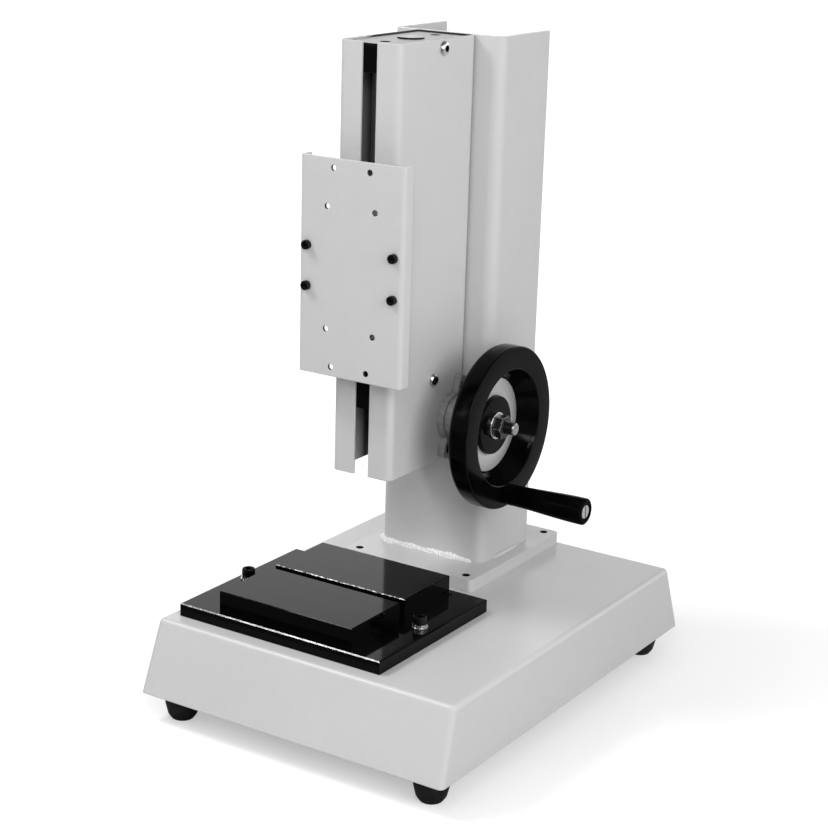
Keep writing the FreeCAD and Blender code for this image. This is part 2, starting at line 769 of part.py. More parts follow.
def screw_gear():
    """Driven gear on the lead screw: a tooth gap faces the shaft at rest."""
    gear = helical_gear(math.pi / 2 + math.pi / gear_teeth, screw_journal_radius + seat_gap)
    gear.translate(V(0, screw_y, shaft_z))
    return gear


def screw_spacer():
    start = shaft_z + gear_width / 2
    return ring((0, screw_y, start), AXIS_Z, lower_block_bottom_z - start - 0.1, screw_journal_radius + 2.5,
                screw_journal_radius + seat_gap)


def screw_lock_nut():
    nut = hex_nut(M10_NUT_ACROSS_FLATS, M10_NUT_HEIGHT, screw_journal_radius + seat_gap)
    return placed(nut, (0, screw_y, shaft_z - gear_width / 2 - M10_NUT_HEIGHT), AXIS_Z)


# Hand wheel shaft

def shaft_key_block(width, height_gap):
    length_start = hub_face_x - key_length - 4
    top = shaft_z + shaft_radius + key_width / 2 + height_gap
    return block(length_start, length_start + key_length, shaft_y - width / 2, shaft_y + width / 2,
                 shaft_z + shaft_radius - key_width / 2, top)


def drive_shaft():
    """Shaft with a keyway, a shoulder and a threaded stud end that is centre drilled."""
    shoulder = hub_face_x - 0.5
    edge = 0.8
    shaft = turned([(shaft_left_x, 0), (shaft_left_x, shaft_radius - edge), (shaft_left_x + edge, shaft_radius),
                    (shoulder, shaft_radius), (shoulder, stud_radius), (shaft_end_x - 1.6, stud_radius),
                    (shaft_end_x, stud_radius - 2.2), (shaft_end_x, 1.4), (shaft_end_x - 2.4, 0)],
                   (0, shaft_y, shaft_z), AXIS_X)
    return shaft.cut(shaft_key_block(key_width, 0))


def shaft_gear():
    """Driving gear on the shaft: a tooth faces the lead screw at rest."""
    gear = helical_gear(0, shaft_radius + seat_gap)
    gear.Placement = FreeCAD.Placement(FreeCAD.Matrix(0, 0, 1, 0, -1, 0, 0, shaft_y, 0, -1, 0, shaft_z, 0, 0, 0, 1))
    return gear


def shaft_collars():
    """Two set collars that keep the gear in the middle between the cheeks."""
    half = inner_half_width - side_clearance - cheek_thickness
    length = half - gear_width / 2 - 0.3
    collar = ring((0, 0, 0), AXIS_Z, length, shaft_radius + 4.5, shaft_radius + seat_gap)
    return group(collar, [(gear_width / 2, shaft_y, shaft_z), (-gear_width / 2 - length, shaft_y, shaft_z)],
                 AXIS_X)


def shaft_key():
    return shaft_key_block(key_width - seat_gap, 0)


def shaft_bush():
    """Plain bush in the left cheek."""
    half = inner_half_width - side_clearance
    return ring((-half, shaft_y, shaft_z), AXIS_X, cheek_thickness, bush_radius, shaft_radius + running_gap)


# Flange bearing

def flange_bolt_positions(x):
    half = flange_bolt_spacing / 2
    tilt = math.radians(flange_tilt)
    return [(x, shaft_y + side * half * math.sin(tilt), shaft_z + side * half * math.cos(tilt))
            for side in (-1, 1)]


def flange_bearing_housing():
    """Cast two-ear flange: round middle, narrow straight ears with flat ends, raised ring on the front."""
    half_length = flange_length / 2
    half_end = flange_end_width / 2
    radius = flange_width / 2
    reach = half_length - half_end * 0.35
    root = math.sqrt(radius ** 2 - half_end ** 2)
    points = []
    for side in (1, -1):
        points.append((side * half_end, side * root))
        points.append((side * half_end, side * reach))
        points.append((side * half_end * 0.7, side * half_length))
        points.append((-side * half_end * 0.7, side * half_length))
        points.append((-side * half_end, side * reach))
        points.append((-side * half_end, side * root))
        points.append((-side * radius, 0, "arc"))
    flange = prism(points, 0, flange_thickness)
    boss = turned([(flange_thickness, 0), (flange_thickness, flange_boss_radius),
                   (flange_thickness + flange_boss_height, flange_boss_radius - 1.5),
                   (flange_thickness + flange_boss_height, 0)], (0, 0, 0), AXIS_Z)
    flange = flange.fuse(boss).removeSplitter()
    flange = flange.cut(rod((0, 0, -1), AXIS_Z, flange_thickness + flange_boss_height + 2,
                            flange_bore_radius + seat_gap))
    for side in (-1, 1):
        flange = flange.cut(rod((0, side * flange_bolt_spacing / 2, -1), AXIS_Z, flange_thickness + 2,
                                M6_CAP[3] + hole_clearance))
    flange.rotate(V(0, 0, 0), AXIS_Z, -flange_tilt)
    flange.rotate(V(0, 0, 0), V(1, 1, 1), 120)
    flange.translate(V(housing_width / 2, shaft_y, shaft_z))
    return flange


def flange_bearing_insert():
    """Outer part of the insert bearing, with its sunk seal."""
    start = housing_width / 2 + 0.5
    length = flange_thickness + flange_boss_height - 1
    land = 2.0
    sink = 0.8
    return turned([(0, insert_bore_radius), (0, flange_bore_radius), (length, flange_bore_radius),
                   (length, flange_bore_radius - land), (length - sink, flange_bore_radius - land),
                   (length - sink, insert_bore_radius)], (start, shaft_y, shaft_z), AXIS_X)


def flange_bearing_collar():
    """Inner ring and locking collar, which turn with the shaft."""
    start = housing_width / 2 + 0.5
    return ring((start, shaft_y, shaft_z), AXIS_X, collar_end_x - start, collar_radius, shaft_radius + seat_gap)


def flange_bearing_bolts():
    face = housing_width / 2 + flange_thickness
    length = face - (inner_half_width - side_clearance - cheek_thickness) - 0.5
    return group(cap_screw(M6_CAP, length), flange_bolt_positions(face), AXIS_X)


# Hand wheel

def handwheel():
    """Moulded wheel: heavy flat-faced rim, deep dished web, raised middle disc and a hub behind."""
    back_x = wheel_face_x - rim_width
    web_back_x = web_front_x - web_thickness
    bend = 1 - math.sqrt(0.5)
    edge = rim_edge_radius * bend * 2
    points = [(hub_back_x, shaft_radius + seat_gap), (hub_back_x, hub_radius),
              (web_back_x - 3, hub_radius + 1), (web_back_x, hub_radius + 4), (web_back_x, dish_radius - 2),
              (back_x, rim_inner_radius + 1), (back_x, wheel_radius - rim_back_radius),
              (back_x + rim_back_radius * bend, wheel_radius - rim_back_radius * bend, "arc"),
              (back_x + rim_back_radius, wheel_radius), (wheel_face_x - edge, wheel_radius),
              (wheel_face_x, wheel_radius - edge), (wheel_face_x, rim_inner_radius + edge),
              (wheel_face_x - edge, rim_inner_radius), (web_front_x + 1.5, dish_radius),
              (web_front_x, dish_radius), (web_front_x, hub_disc_radius), (hub_face_x - 0.6, hub_disc_radius),
              (hub_face_x, hub_disc_radius - 0.6), (hub_face_x, shaft_radius + seat_gap)]
    wheel = turned(points, (0, shaft_y, shaft_z), AXIS_X)
    wheel = wheel.cut(shaft_key_block(key_width, seat_gap))
    return wheel.cut(rod((back_x + 2, shaft_y, handle_z), AXIS_X, rim_width, spindle_radius - 0.5 + thread_gap))


def wheel_ring():
    """Thin metal ring laid on the wheel's web around the middle disc."""
    return ring((web_front_x, shaft_y, shaft_z), AXIS_X, ring_thickness, dish_radius - side_clearance,
                hub_disc_radius + side_clearance)


def wheel_washer():
    return ring((hub_face_x, shaft_y, shaft_z), AXIS_X, washer_thickness, washer_radius, stud_radius + 0.2)


def wheel_nut():
    nut = hex_nut(wheel_nut_across_flats, wheel_nut_height, stud_radius + seat_gap)
    return placed(nut, (hub_face_x + washer_thickness, shaft_y, shaft_z), AXIS_X)


def handle_spindle():
    """Shouldered spindle screwed into the rim; its slotted head keeps the grip on."""
    thread_start = wheel_face_x - rim_width + 3
    head_start = handle_end_x - spindle_head_height - 0.5
    head_end = handle_end_x - 0.5
    body = turned([(thread_start, 0), (thread_start, spindle_radius - 0.5), (wheel_face_x, spindle_radius - 0.5),
                   (wheel_face_x, spindle_radius), (head_start, spindle_radius),
                   (head_start, spindle_head_radius), (head_end - 0.5, spindle_head_radius),
                   (head_end, spindle_head_radius - 0.5), (head_end, 0)], (0, shaft_y, handle_z), AXIS_X)
    slot_half = 0.7
    return body.cut(block(head_end - 1.4, head_end + 1, shaft_y - slot_half, shaft_y + slot_half,
                          handle_z - spindle_head_radius - 1, handle_z + spindle_head_radius + 1))


def handle_grip():
    """Waisted revolving grip: its outside is one smooth curve from root to end."""
    start = wheel_face_x + handle_gap
    length = handle_end_x - start
    curve = Part.BSplineCurve()
    curve.interpolate([V(handle_root_radius, start, 0), V(handle_waist_radius, start + length * 0.2, 0),
                       V((handle_waist_radius + handle_end_radius) / 2 + 0.3, start + length * 0.6, 0),
                       V(handle_end_radius, start + length * 0.97, 0)])
    bore = spindle_radius + running_gap
    recess = spindle_head_radius + 0.4
    recess_floor = handle_end_x - spindle_head_height - 0.5 - 0.3
    inner = [V(handle_end_radius, start + length * 0.97, 0), V(handle_end_radius - 1.2, handle_end_x, 0),
             V(recess, handle_end_x, 0), V(recess, recess_floor, 0), V(bore, recess_floor, 0), V(bore, start, 0),
             V(handle_root_radius, start, 0)]
    edges = [curve.toShape()] + [Part.makeLine(a, b) for a, b in zip(inner, inner[1:])]
    face = Part.Face(Part.Wire(edges))
    face.rotate(V(0, 0, 0), AXIS_X, 90)
    return placed(face.revolve(V(0, 0, 0), AXIS_Z, 360), (0, shaft_y, handle_z), AXIS_X)


# Carriage

def slider_block():
    """Block that runs on both guide rods and holds the nut."""
    half = slider_width / 2
    body = block(-half, half, slider_front_y, slider_back_y, slider_bottom_z, slider_top_z)
    body = body.makeChamfer(1.5, vertical_edges(body))
    for side in (-1, 1):
        body = body.cut(rod((side * guide_rod_x, guide_rod_y, slider_bottom_z - 1), AXIS_Z,
                            slider_height + 2, guide_rod_radius + bush_wall + seat_gap))
    body = body.cut(rod((0, screw_y, slider_bottom_z - 1), AXIS_Z, slider_height + 2, nut_radius + seat_gap))
    for position in nut_screw_positions(slider_top_z - nut_thread_depth):
        body = body.cut(rod(position, AXIS_Z, nut_thread_depth + 1, M4_CAP[3]))
    for z in bracket_screw_heights():
        body = body.cut(rod((0, slider_front_y - 1, z), AXIS_Y, bracket_thread_depth + 1, M5_CAP[3]))
    return body


def slider_bushes():
    bush = ring((0, 0, 0), AXIS_Z, bush_length, guide_rod_radius + bush_wall, guide_rod_radius + running_gap)
    positions = corners(guide_rod_x, (guide_rod_y,), slider_bottom_z)
    positions += corners(guide_rod_x, (guide_rod_y,), slider_top_z - bush_length)
    return group(bush, positions, AXIS_Z)


def nut_screw_positions(z):
    places = []
    for angle in (0, 90, 180):
        turn = math.radians(angle)
        places.append((nut_screw_radius_from_axis * math.cos(turn),
                       screw_y + nut_screw_radius_from_axis * math.sin(turn), z))
    return places


def lead_nut():
    """Flanged nut, pushed into the slider from above, with a flat that clears the guide rods."""
    depth = slider_height * 0.6
    bore = screw_radius + running_gap
    nut = turned([(-depth, bore), (-depth, nut_radius), (0, nut_radius), (0, nut_flange_radius),
                  (nut_flange_thickness, nut_flange_radius), (nut_flange_thickness, bore)],
                 (0, screw_y, slider_top_z), AXIS_Z)
    for position in nut_screw_positions(slider_top_z - 1):
        nut = nut.cut(rod(position, AXIS_Z, nut_flange_thickness + 2, M4_CAP[3] + hole_clearance))
    flat_y = guide_rod_y + guide_rod_radius + nut_flange_clearance
    return nut.cut(block(-nut_flange_radius, nut_flange_radius, screw_y - nut_flange_radius - 1, flat_y,
                         slider_top_z, slider_top_z + nut_flange_thickness))


def lead_nut_screws():
    screw = cap_screw(M4_CAP, nut_flange_thickness + nut_thread_depth - 1)
    return group(screw, nut_screw_positions(slider_top_z + nut_flange_thickness), AXIS_Z)


def bracket_screw_heights():
    return (carriage_z - bracket_screw_spacing / 2, carriage_z + bracket_screw_spacing / 2)


def plate_screw_positions(y):
    half_x = plate_screw_spacing_x / 2
    half_z = plate_screw_spacing_z / 2
    return corners(half_x, (y,), carriage_z - half_z) + corners(half_x, (y,), carriage_z + half_z)


def gauge_bracket():
    """Cross bar behind the plate, with a neck that reaches through the slot to the slider."""
    half = bracket_width / 2
    bar = block(-half, half, bracket_front_y, bracket_back_y, carriage_z - bracket_height / 2,
                carriage_z + bracket_height / 2)
    bar = bar.makeChamfer(1.0, edges_at_height(bar, carriage_z + bracket_height / 2)
                          + edges_at_height(bar, carriage_z - bracket_height / 2))
    neck_half = bracket_neck_width / 2
    neck = block(-neck_half, neck_half, bracket_back_y - 1, slider_front_y,
                 carriage_z - bracket_neck_height / 2, carriage_z + bracket_neck_height / 2)
    bracket = bar.fuse(neck).removeSplitter()
    for z in bracket_screw_heights():
        bracket = bracket.cut(rod((0, bracket_front_y - 1, z), AXIS_Y, slider_front_y - bracket_front_y + 2,
                                  M5_CAP[3] + hole_clearance))
        bracket = bracket.cut(rod((0, bracket_front_y - 1, z), AXIS_Y,
                                  M5_CAP[1] + counterbore_extra_depth + 1, M5_CAP[0] + hole_clearance))
    for position in plate_screw_positions(bracket_front_y - 1):
        bracket = bracket.cut(rod(position, AXIS_Y, plate_thread_depth + 1, M4_CAP[3]))
    return bracket


def bracket_screws():
    seat = bracket_front_y + M5_CAP[1] + counterbore_extra_depth
    length = slider_front_y - seat + bracket_thread_depth - 1
    return group(cap_screw(M5_CAP, length), [(0, seat, z) for z in bracket_screw_heights()], V(0, -1, 0))


def gauge_plate():
    """Channel plate with its flanges bent back, two gauge hole patterns and four screw holes."""
    bottom = carriage_z - plate_height / 2
    plate = bent_channel(plate_width, plate_flange, plate_sheet, plate_bend_radius, bottom,
                         bottom + plate_height)
    plate.translate(V(0, plate_front_y, 0))
    for spacing_x, spacing_z in ((narrow_hole_spacing_x, narrow_hole_spacing_z),
                                 (wide_hole_spacing_x, wide_hole_spacing_z)):
        for z in (carriage_z - spacing_z / 2, carriage_z + spacing_z / 2):
            for position in corners(spacing_x / 2, (plate_front_y - 1,), z):
                plate = plate.cut(rod(position, AXIS_Y, plate_sheet + 2, gauge_hole_radius))
    for position in plate_screw_positions(plate_front_y - 1):
        plate = plate.cut(rod(position, AXIS_Y, plate_sheet + 2, M4_CAP[3] + hole_clearance))
    return plate


def gauge_plate_screws():
    screw = cap_screw(M4_CAP, plate_sheet + plate_thread_depth - 2)
    return group(screw, plate_screw_positions(plate_front_y), V(0, -1, 0))


# Bed

def anvil_screw_positions(front_y, z):
    y_values = (front_y + block_screw_inset_y, front_y + block_depth - block_screw_inset_y)
    return corners(block_width / 2 - block_screw_inset_x, y_values, z)


def all_anvil_screw_positions(z):
    front = bed_front_y + block_front_inset
    return anvil_screw_positions(front, z) + anvil_screw_positions(rear_block_front_y, z)


def bed_plate():
    """Black plate with four small tapped holes beside the blocks and two screw holes at its sides."""
    half = bed_width / 2
    plate = block(-half, half, bed_front_y, bed_front_y + bed_depth, base_top_z, bed_top_z)
    plate = plate.makeChamfer(bed_edge_bevel, edges_at_height(plate, bed_top_z))
    rows = (bed_front_y + bed_small_hole_front_inset, bed_front_y + bed_depth - bed_small_hole_back_inset)
    for position in corners(bed_small_hole_x, rows, base_top_z - 1):
        plate = plate.cut(rod(position, AXIS_Z, bed_thickness + 2, bed_small_hole_radius))
    for position in bed_screw_positions(base_top_z - 1):
        plate = plate.cut(rod(position, AXIS_Z, bed_thickness + 2, M6_CAP[3] + hole_clearance))
    for position in all_anvil_screw_positions(base_top_z - 1):
        plate = plate.cut(rod(position, AXIS_Z, bed_thickness + 2, M5_CAP[3] + hole_clearance))
        plate = plate.cut(rod(position, AXIS_Z, M5_CAP[1] + counterbore_extra_depth + 1,
                              M5_CAP[0] + hole_clearance))
    return plate


def anvil_block(front_y):
    """Plain block with bevelled edges, tapped from below."""
    half = block_width / 2
    body = block(-half, half, front_y, front_y + block_depth, bed_top_z, block_top_z)
    body = body.makeChamfer(block_edge_bevel, edges_at_height(body, block_top_z))
    for position in anvil_screw_positions(front_y, bed_top_z - 1):
        body = body.cut(rod(position, AXIS_Z, block_thread_depth + 1, M5_CAP[3]))
    return body


def front_anvil_block():
    return anvil_block(bed_front_y + block_front_inset)


def rear_anvil_block():
    return anvil_block(rear_block_front_y)


def anvil_block_screws():
    seat = base_top_z + M5_CAP[1] + counterbore_extra_depth
    screw = cap_screw(M5_CAP, bed_top_z - seat + block_thread_depth - 1)
    return group(screw, all_anvil_screw_positions(seat), V(0, 0, -1))


def bed_washers():
    washer = ring((0, 0, 0), AXIS_Z, M6_WASHER_THICKNESS, M6_WASHER_RADIUS, M6_CAP[3] + hole_clearance)
    return group(washer, bed_screw_positions(bed_top_z), AXIS_Z)


def bed_spring_washers():
    """Split spring washers between the flat washers and the screw heads."""
    outer = M6_CAP[0] + 0.3
    washer = ring((0, 0, 0), AXIS_Z, M6_WASHER_THICKNESS, outer, M6_CAP[3] + hole_clearance)
    washer = washer.cut(block(M6_CAP[3], outer + 1, -0.5, 0.5, -1, M6_WASHER_THICKNESS + 1))
    return group(washer, bed_screw_positions(bed_top_z + M6_WASHER_THICKNESS), AXIS_Z)


def bed_screws():
    seat = bed_top_z + 2 * M6_WASHER_THICKNESS
    return group(cap_screw(M6_CAP, seat - stiffener_bottom_z), bed_screw_positions(seat), AXIS_Z)


# Pieces about the base's own middle, and pieces about the column's middle plane

base_pieces = {
    "base_shell": base_shell(),
    "foot_screws": foot_screws(),
    "foot_nuts": foot_nuts(),
}
foot_names = ("front_left", "front_right", "rear_left", "rear_right")
for corner_name, corner_position in zip(foot_names, foot_positions(0)):
    base_pieces["rubber_foot_" + corner_name] = placed(rubber_foot(), corner_position, AXIS_Z)

column_pieces = {
    "base_stiffener": base_stiffener(),
    "column_channel": column_channel(),
    "column_foot_plate": column_foot_plate(),
    "column_weld_beads": column_weld_beads(),
    "column_bolts": column_bolts(),
    "housing_channel": housing_channel(),
    "housing_screws": housing_screws(),
    "top_cap_plate": top_cap_plate(),
    "cap_plate_screws": cap_plate_screws(),
    "top_bearing_block": top_bearing_block(),
    "top_ball_bearing": top_ball_bearing(),
    "bearing_cover_disc": bearing_cover_disc(),
    "lower_bearing_block": lower_bearing_block(),
    "lower_ball_bearings": lower_ball_bearings(),
    "guide_rod_left": guide_rod(-1),
    "guide_rod_right": guide_rod(1),
    "block_mounting_screws": block_mounting_screws(),
    "shaft_bush": shaft_bush(),
    "flange_bearing_housing": flange_bearing_housing(),
    "flange_bearing_insert": flange_bearing_insert(),
    "flange_bearing_bolts": flange_bearing_bolts(),
    "bed_plate": bed_plate(),
    "front_anvil_block": front_anvil_block(),
    "rear_anvil_block": rear_anvil_block(),
    "anvil_block_screws": anvil_block_screws(),
    "bed_washers": bed_washers(),
    "bed_spring_washers": bed_spring_washers(),
    "bed_screws": bed_screws(),
    "lead_screw": lead_screw(),
    "screw_gear": screw_gear(),
    "screw_spacer": screw_spacer(),
    "screw_lock_nut": screw_lock_nut(),
    "drive_shaft": drive_shaft(),
    "shaft_gear": shaft_gear(),
    "shaft_collars": shaft_collars(),
    "shaft_key": shaft_key(),
    "flange_bearing_collar": flange_bearing_collar(),
    "handwheel": handwheel(),
    "wheel_ring": wheel_ring(),
    "wheel_washer": wheel_washer(),
    "wheel_nut": wheel_nut(),
    "handle_spindle": handle_spindle(),
    "handle_grip": handle_grip(),
    "slider_block": slider_block(),
    "slider_bushes": slider_bushes(),
    "lead_nut": lead_nut(),
    "lead_nut_screws": lead_nut_screws(),
    "gauge_bracket": gauge_bracket(),
    "bracket_screws": bracket_screws(),
    "gauge_plate": gauge_plate(),
    "gauge_plate_screws": gauge_plate_screws(),
}

os.makedirs("parts", exist_ok=True)
for name, shape in base_pieces.items():
    shape.exportStep("parts/" + name + ".step")
for name, shape in column_pieces.items():
    shape.translate(V(column_offset, 0, 0))
    shape.exportStep("parts/" + name + ".step")
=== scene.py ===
import math

import bmesh
import bpy
import numpy as np
from mathutils import Matrix, Vector


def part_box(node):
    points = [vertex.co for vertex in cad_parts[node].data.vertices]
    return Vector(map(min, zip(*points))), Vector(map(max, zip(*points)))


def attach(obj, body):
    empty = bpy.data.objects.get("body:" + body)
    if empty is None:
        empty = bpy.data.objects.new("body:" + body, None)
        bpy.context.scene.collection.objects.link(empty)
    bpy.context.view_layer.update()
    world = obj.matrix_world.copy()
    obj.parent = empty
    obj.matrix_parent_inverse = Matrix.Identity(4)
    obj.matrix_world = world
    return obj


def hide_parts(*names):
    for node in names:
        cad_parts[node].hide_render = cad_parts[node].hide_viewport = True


bl_info = {
    "name": "Force gauge test stand",
    "version": (1, 0, 0),
    "blender": (4, 5, 0),
    "location": "3D View > Sidebar > Test stand",
    "description": "Gives the packed test stand its turned, moulded and threaded pieces and its finishes",
    "category": "Object",
}

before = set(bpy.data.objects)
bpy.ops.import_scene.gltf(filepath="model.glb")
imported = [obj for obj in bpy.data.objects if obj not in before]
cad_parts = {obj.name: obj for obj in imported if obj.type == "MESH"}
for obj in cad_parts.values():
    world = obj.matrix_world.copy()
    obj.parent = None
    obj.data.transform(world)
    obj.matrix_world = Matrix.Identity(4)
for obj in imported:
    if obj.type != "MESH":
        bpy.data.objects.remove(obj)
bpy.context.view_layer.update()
MM = 0.001
TURN = 2 * math.pi
# Screw sizes in millimetres: head radius, head height, socket across flats, thread radius
CAP_M4 = (3.5, 4.0, 3.0, 1.98)
CAP_M5 = (4.25, 5.0, 4.0, 2.48)
CAP_M6 = (5.0, 6.0, 5.0, 2.98)
BUTTON_SCREW = (5.25, 3.3, 4.0, 2.98)


def linear(code):
    """An sRGB colour code such as "#D0D0CE" as linear red, green and blue."""
    parts = np.array([int(code[i:i + 2], 16) for i in (1, 3, 5)]) / 255
    return tuple(float(c) for c in np.where(parts <= 0.04045, parts / 12.92, ((parts + 0.055) / 1.055) ** 2.4))


# Settings

def length(name, description, millimetres):
    """A size setting in metres with its default given in millimetres."""
    return bpy.props.FloatProperty(name=name, description=description, default=millimetres * MM,
                                   unit="LENGTH", subtype="DISTANCE", precision=5)


def colour(name, description, code):
    """A colour setting with its default given as an sRGB code."""
    return bpy.props.FloatVectorProperty(name=name, description=description, default=linear(code), size=3,
                                         min=0, max=1, subtype="COLOR")


def angle(name, description, degrees):
    """An angle setting with its default given in degrees."""
    return bpy.props.FloatProperty(name=name, description=description, default=math.radians(degrees),
                                   unit="ROTATION", subtype="ANGLE")


def watts(name, description, power):
    """A lamp setting in watts."""
    return bpy.props.FloatProperty(name=name, description=description, default=power, min=0.0, subtype="POWER")


class StandSizes(bpy.types.PropertyGroup):
    rim_width: length("Rim width", "Width of the hand wheel's rim along its shaft", 17.0)
    rim_inner: length("Rim inner radius", "Radius where the rim's face ends and the dish begins", 45.0)
    rim_step: length("Rim step", "Depth of the short straight wall inside the rim's face", 3.6)
    rim_edge: length("Rim front edge", "Rounding of the rim's front edges", 1.2)
    rim_back: length("Rim back edge", "Rounding of the rim's back edge", 5.0)
    dish_radius: length("Dish radius", "Radius of the flat bottom of the dish", 36.5)
    dish_depth: length("Dish depth", "From the rim's face to the bottom of the dish", 16.2)
    web_thickness: length("Web thickness", "Thickness of the wheel's web", 5.5)
    disc_radius: length("Disc radius", "Radius of the raised disc in the middle of the wheel", 22.3)
    disc_depth: length("Disc depth", "From the rim's face to the raised disc", 11.7)
    wheel_hub: length("Hub radius", "Radius of the hub behind the wheel", 13.0)
    shaft_radius: length("Shaft radius", "Radius of the drive shaft", 6.0)
    stud_radius: length("Stud radius", "Outer radius of the thread on the shaft's end", 5.0)
    stud_pitch: length("Stud pitch", "Pitch of the thread on the shaft's end", 1.5)
    grip_root: length("Grip root", "Radius of the handle where it meets the rim", 8.2)
    grip_waist: length("Grip waist", "Smallest radius of the handle", 7.9)
    grip_end: length("Grip end", "Largest radius of the handle", 10.2)
    screw_lead: length("Screw lead", "Lead of the trapezoid thread of the lead screw", 4.0)
    screw_depth: length("Thread depth", "Depth of the lead screw's thread", 2.0)
    bolt_flats: length("Bolt flats", "Across the flats of the bolts that hold the column's foot", 10.0)
    narrow_across: length("Narrow holes across", "Between the narrow gauge holes, sideways", 31.0)
    narrow_tall: length("Narrow holes tall", "Between the narrow gauge holes, upright", 146.0)
    wide_across: length("Wide holes across", "Between the wide gauge holes, sideways", 41.0)
    wide_tall: length("Wide holes tall", "Between the wide gauge holes, upright", 90.0)
    gauge_hole: length("Gauge hole radius", "Radius of the gauge plate's holes", 2.2)
    column_bend: length("Column bend", "Outer radius of the column's bends", 9.0)
    weld_leg: length("Weld leg", "Leg of the fillet welds along the column's foot", 5.0)
    weld_ripple: length("Weld ripple", "Spacing of the ripples left by the welding passes", 2.6)


class StandColours(bpy.types.PropertyGroup):
    paint: colour("Powder coat", "Light grey powder coat of the sheet metal", "#CCCCCC")
    enamel: colour("Black enamel", "Gloss enamel on the bed and its blocks", "#060607")
    anodised: colour("Black anodising", "Anodised aluminium blocks", "#0A0A0B")
    phenolic: colour("Black phenolic", "Moulded hand wheel and handle", "#050505")
    rubber: colour("Foot rubber", "Rubber feet", "#0E0E0E")
    oxide: colour("Black oxide", "Blackened steel screws", "#09090A")
    zinc: colour("Bright zinc", "Zinc plated screws, nuts and washers", "#D9DADB")
    blued: colour("Blued steel", "Blued steel of the wheel's nut", "#1B1B1D")
    steel: colour("Turned steel", "Turned and ground steel", "#B4B5B6")
    casting: colour("Casting", "Grey cast bearing housing", "#8E8F91")
    plate: colour("Grey plate", "Dull zinc of the top plate", "#A9A9AA")
    ring: colour("Ring", "Satin aluminium ring on the wheel", "#D6D6D5")
    bronze: colour("Bronze", "Nut and bushes", "#B58A4A")


class StandStage(bpy.types.PropertyGroup):
    camera_place: bpy.props.FloatVectorProperty(name="Camera place", description="Where the camera stands", size=3,
                                                default=(0.7519, -1.19555, 0.6424), subtype="TRANSLATION",
                                                unit="LENGTH")
    camera_yaw: angle("Camera yaw", "Turn of the view to the left of the +Y direction", 32.655)
    camera_pitch: angle("Camera pitch", "How far the view looks down", 16.695)
    camera_roll: angle("Camera roll", "Tilt of the view about its own axis", 1.708)
    camera_lens: bpy.props.FloatProperty(name="Lens", description="Focal length on a 36 mm wide sensor",
                                         default=85.507, min=1.0)
    sky: bpy.props.FloatProperty(name="Sky", description="Strength of the even light from all round", default=0.38)
    top_lamp: watts("Top lamp", "Soft box high at the left", 15.0)
    left_lamp: watts("Left lamp", "Small soft box at the front left", 1.4)
    right_lamp: watts("Right lamp", "Wide soft box at the right", 20.0)
    front_lamp: watts("Front lamp", "Small soft box beside the camera", 3.2)
    near_lamp: watts("Near lamp", "Small soft box close to the top of the column", 1.3)


# Surfaces

def rounded(corners, steps=6):
    """A profile of (along, radius, fillet) corners with each corner turned into a circular arc.

    The arc is the rational curve between the two tangent points: ((1-s)^2 A + 2s(1-s)w P + s^2 B) over the sum of
    its weights, where w is the sine of half the corner's angle.
    """
    table = np.array(corners, float)
    place, fillet = table[:, :2], table[:, 2:3]
    back = np.roll(place, 1, axis=0) - place
    ahead = np.roll(place, -1, axis=0) - place
    back = back / np.maximum(np.linalg.norm(back, axis=1, keepdims=True), 1e-12)
    ahead = ahead / np.maximum(np.linalg.norm(ahead, axis=1, keepdims=True), 1e-12)
    half = np.arccos(np.clip((back * ahead).sum(1, keepdims=True), -1, 1)) / 2
    reach = fillet / np.tan(np.maximum(half, 1e-6))
    reach[[0, -1]] = 0
    share = np.linspace(0, 1, steps)[None, :, None]
    weight = np.sin(half)[:, None, :]
    first, last = (1 - share) ** 2, share ** 2
    middle = 2 * share * (1 - share) * weight
    start, end = (place + back * reach)[:, None, :], (place + ahead * reach)[:, None, :]
    points = (first * start + middle * place[:, None, :] + last * end) / (first + middle + last)
    points = points.reshape(-1, 2)
    apart = np.linalg.norm(np.diff(points, axis=0), axis=1) > 1e-8
    return points[np.concatenate([[True], apart])]


def around(axis, centre, along, radius, turn):
    """Points at a height along an axis and a radius at each angle: centre + along a + radius (cos u + sin v)."""
    a = np.array(axis, float)
    u = np.array([0, 0, 1.0]) if abs(a[2]) < 0.9 else np.array([1.0, 0, 0])
    v = np.cross(a, u)
    spoke = np.cos(turn)[:, None] * u + np.sin(turn)[:, None] * v
    rise = np.asarray(along, float).reshape(-1, 1, 1) * a
    return np.array(centre, float) + rise + np.asarray(radius, float)[:, :, None] * spoke[None]


def lathe(corners, axis, centre, columns=96, steps=6):
    """A rounded profile turned about an axis: the same radius at every angle."""
    profile = rounded(corners, steps)
    turn = np.linspace(0, TURN, columns, endpoint=False)
    radius = np.repeat(profile[:, 1:2], columns, axis=1)
    return around(axis, centre, profile[:, 0], radius, turn)


def rows_surface(rows, axis, centre, turn):
    """Rows of (along, radius at each angle) as a grid of points; a single radius counts for all angles."""
    along = np.array([row[0] for row in rows], float)
    radius = np.stack([np.broadcast_to(np.asarray(row[1], float), turn.shape) for row in rows])
    return around(axis, centre, along, radius, turn)


def hexagon(across, turn):
    """Radius of a six-sided outline: half the flats over the cosine of the angle from the nearest flat."""
    return across / 2 / np.cos((turn + math.pi / 6) % (math.pi / 3) - math.pi / 6)


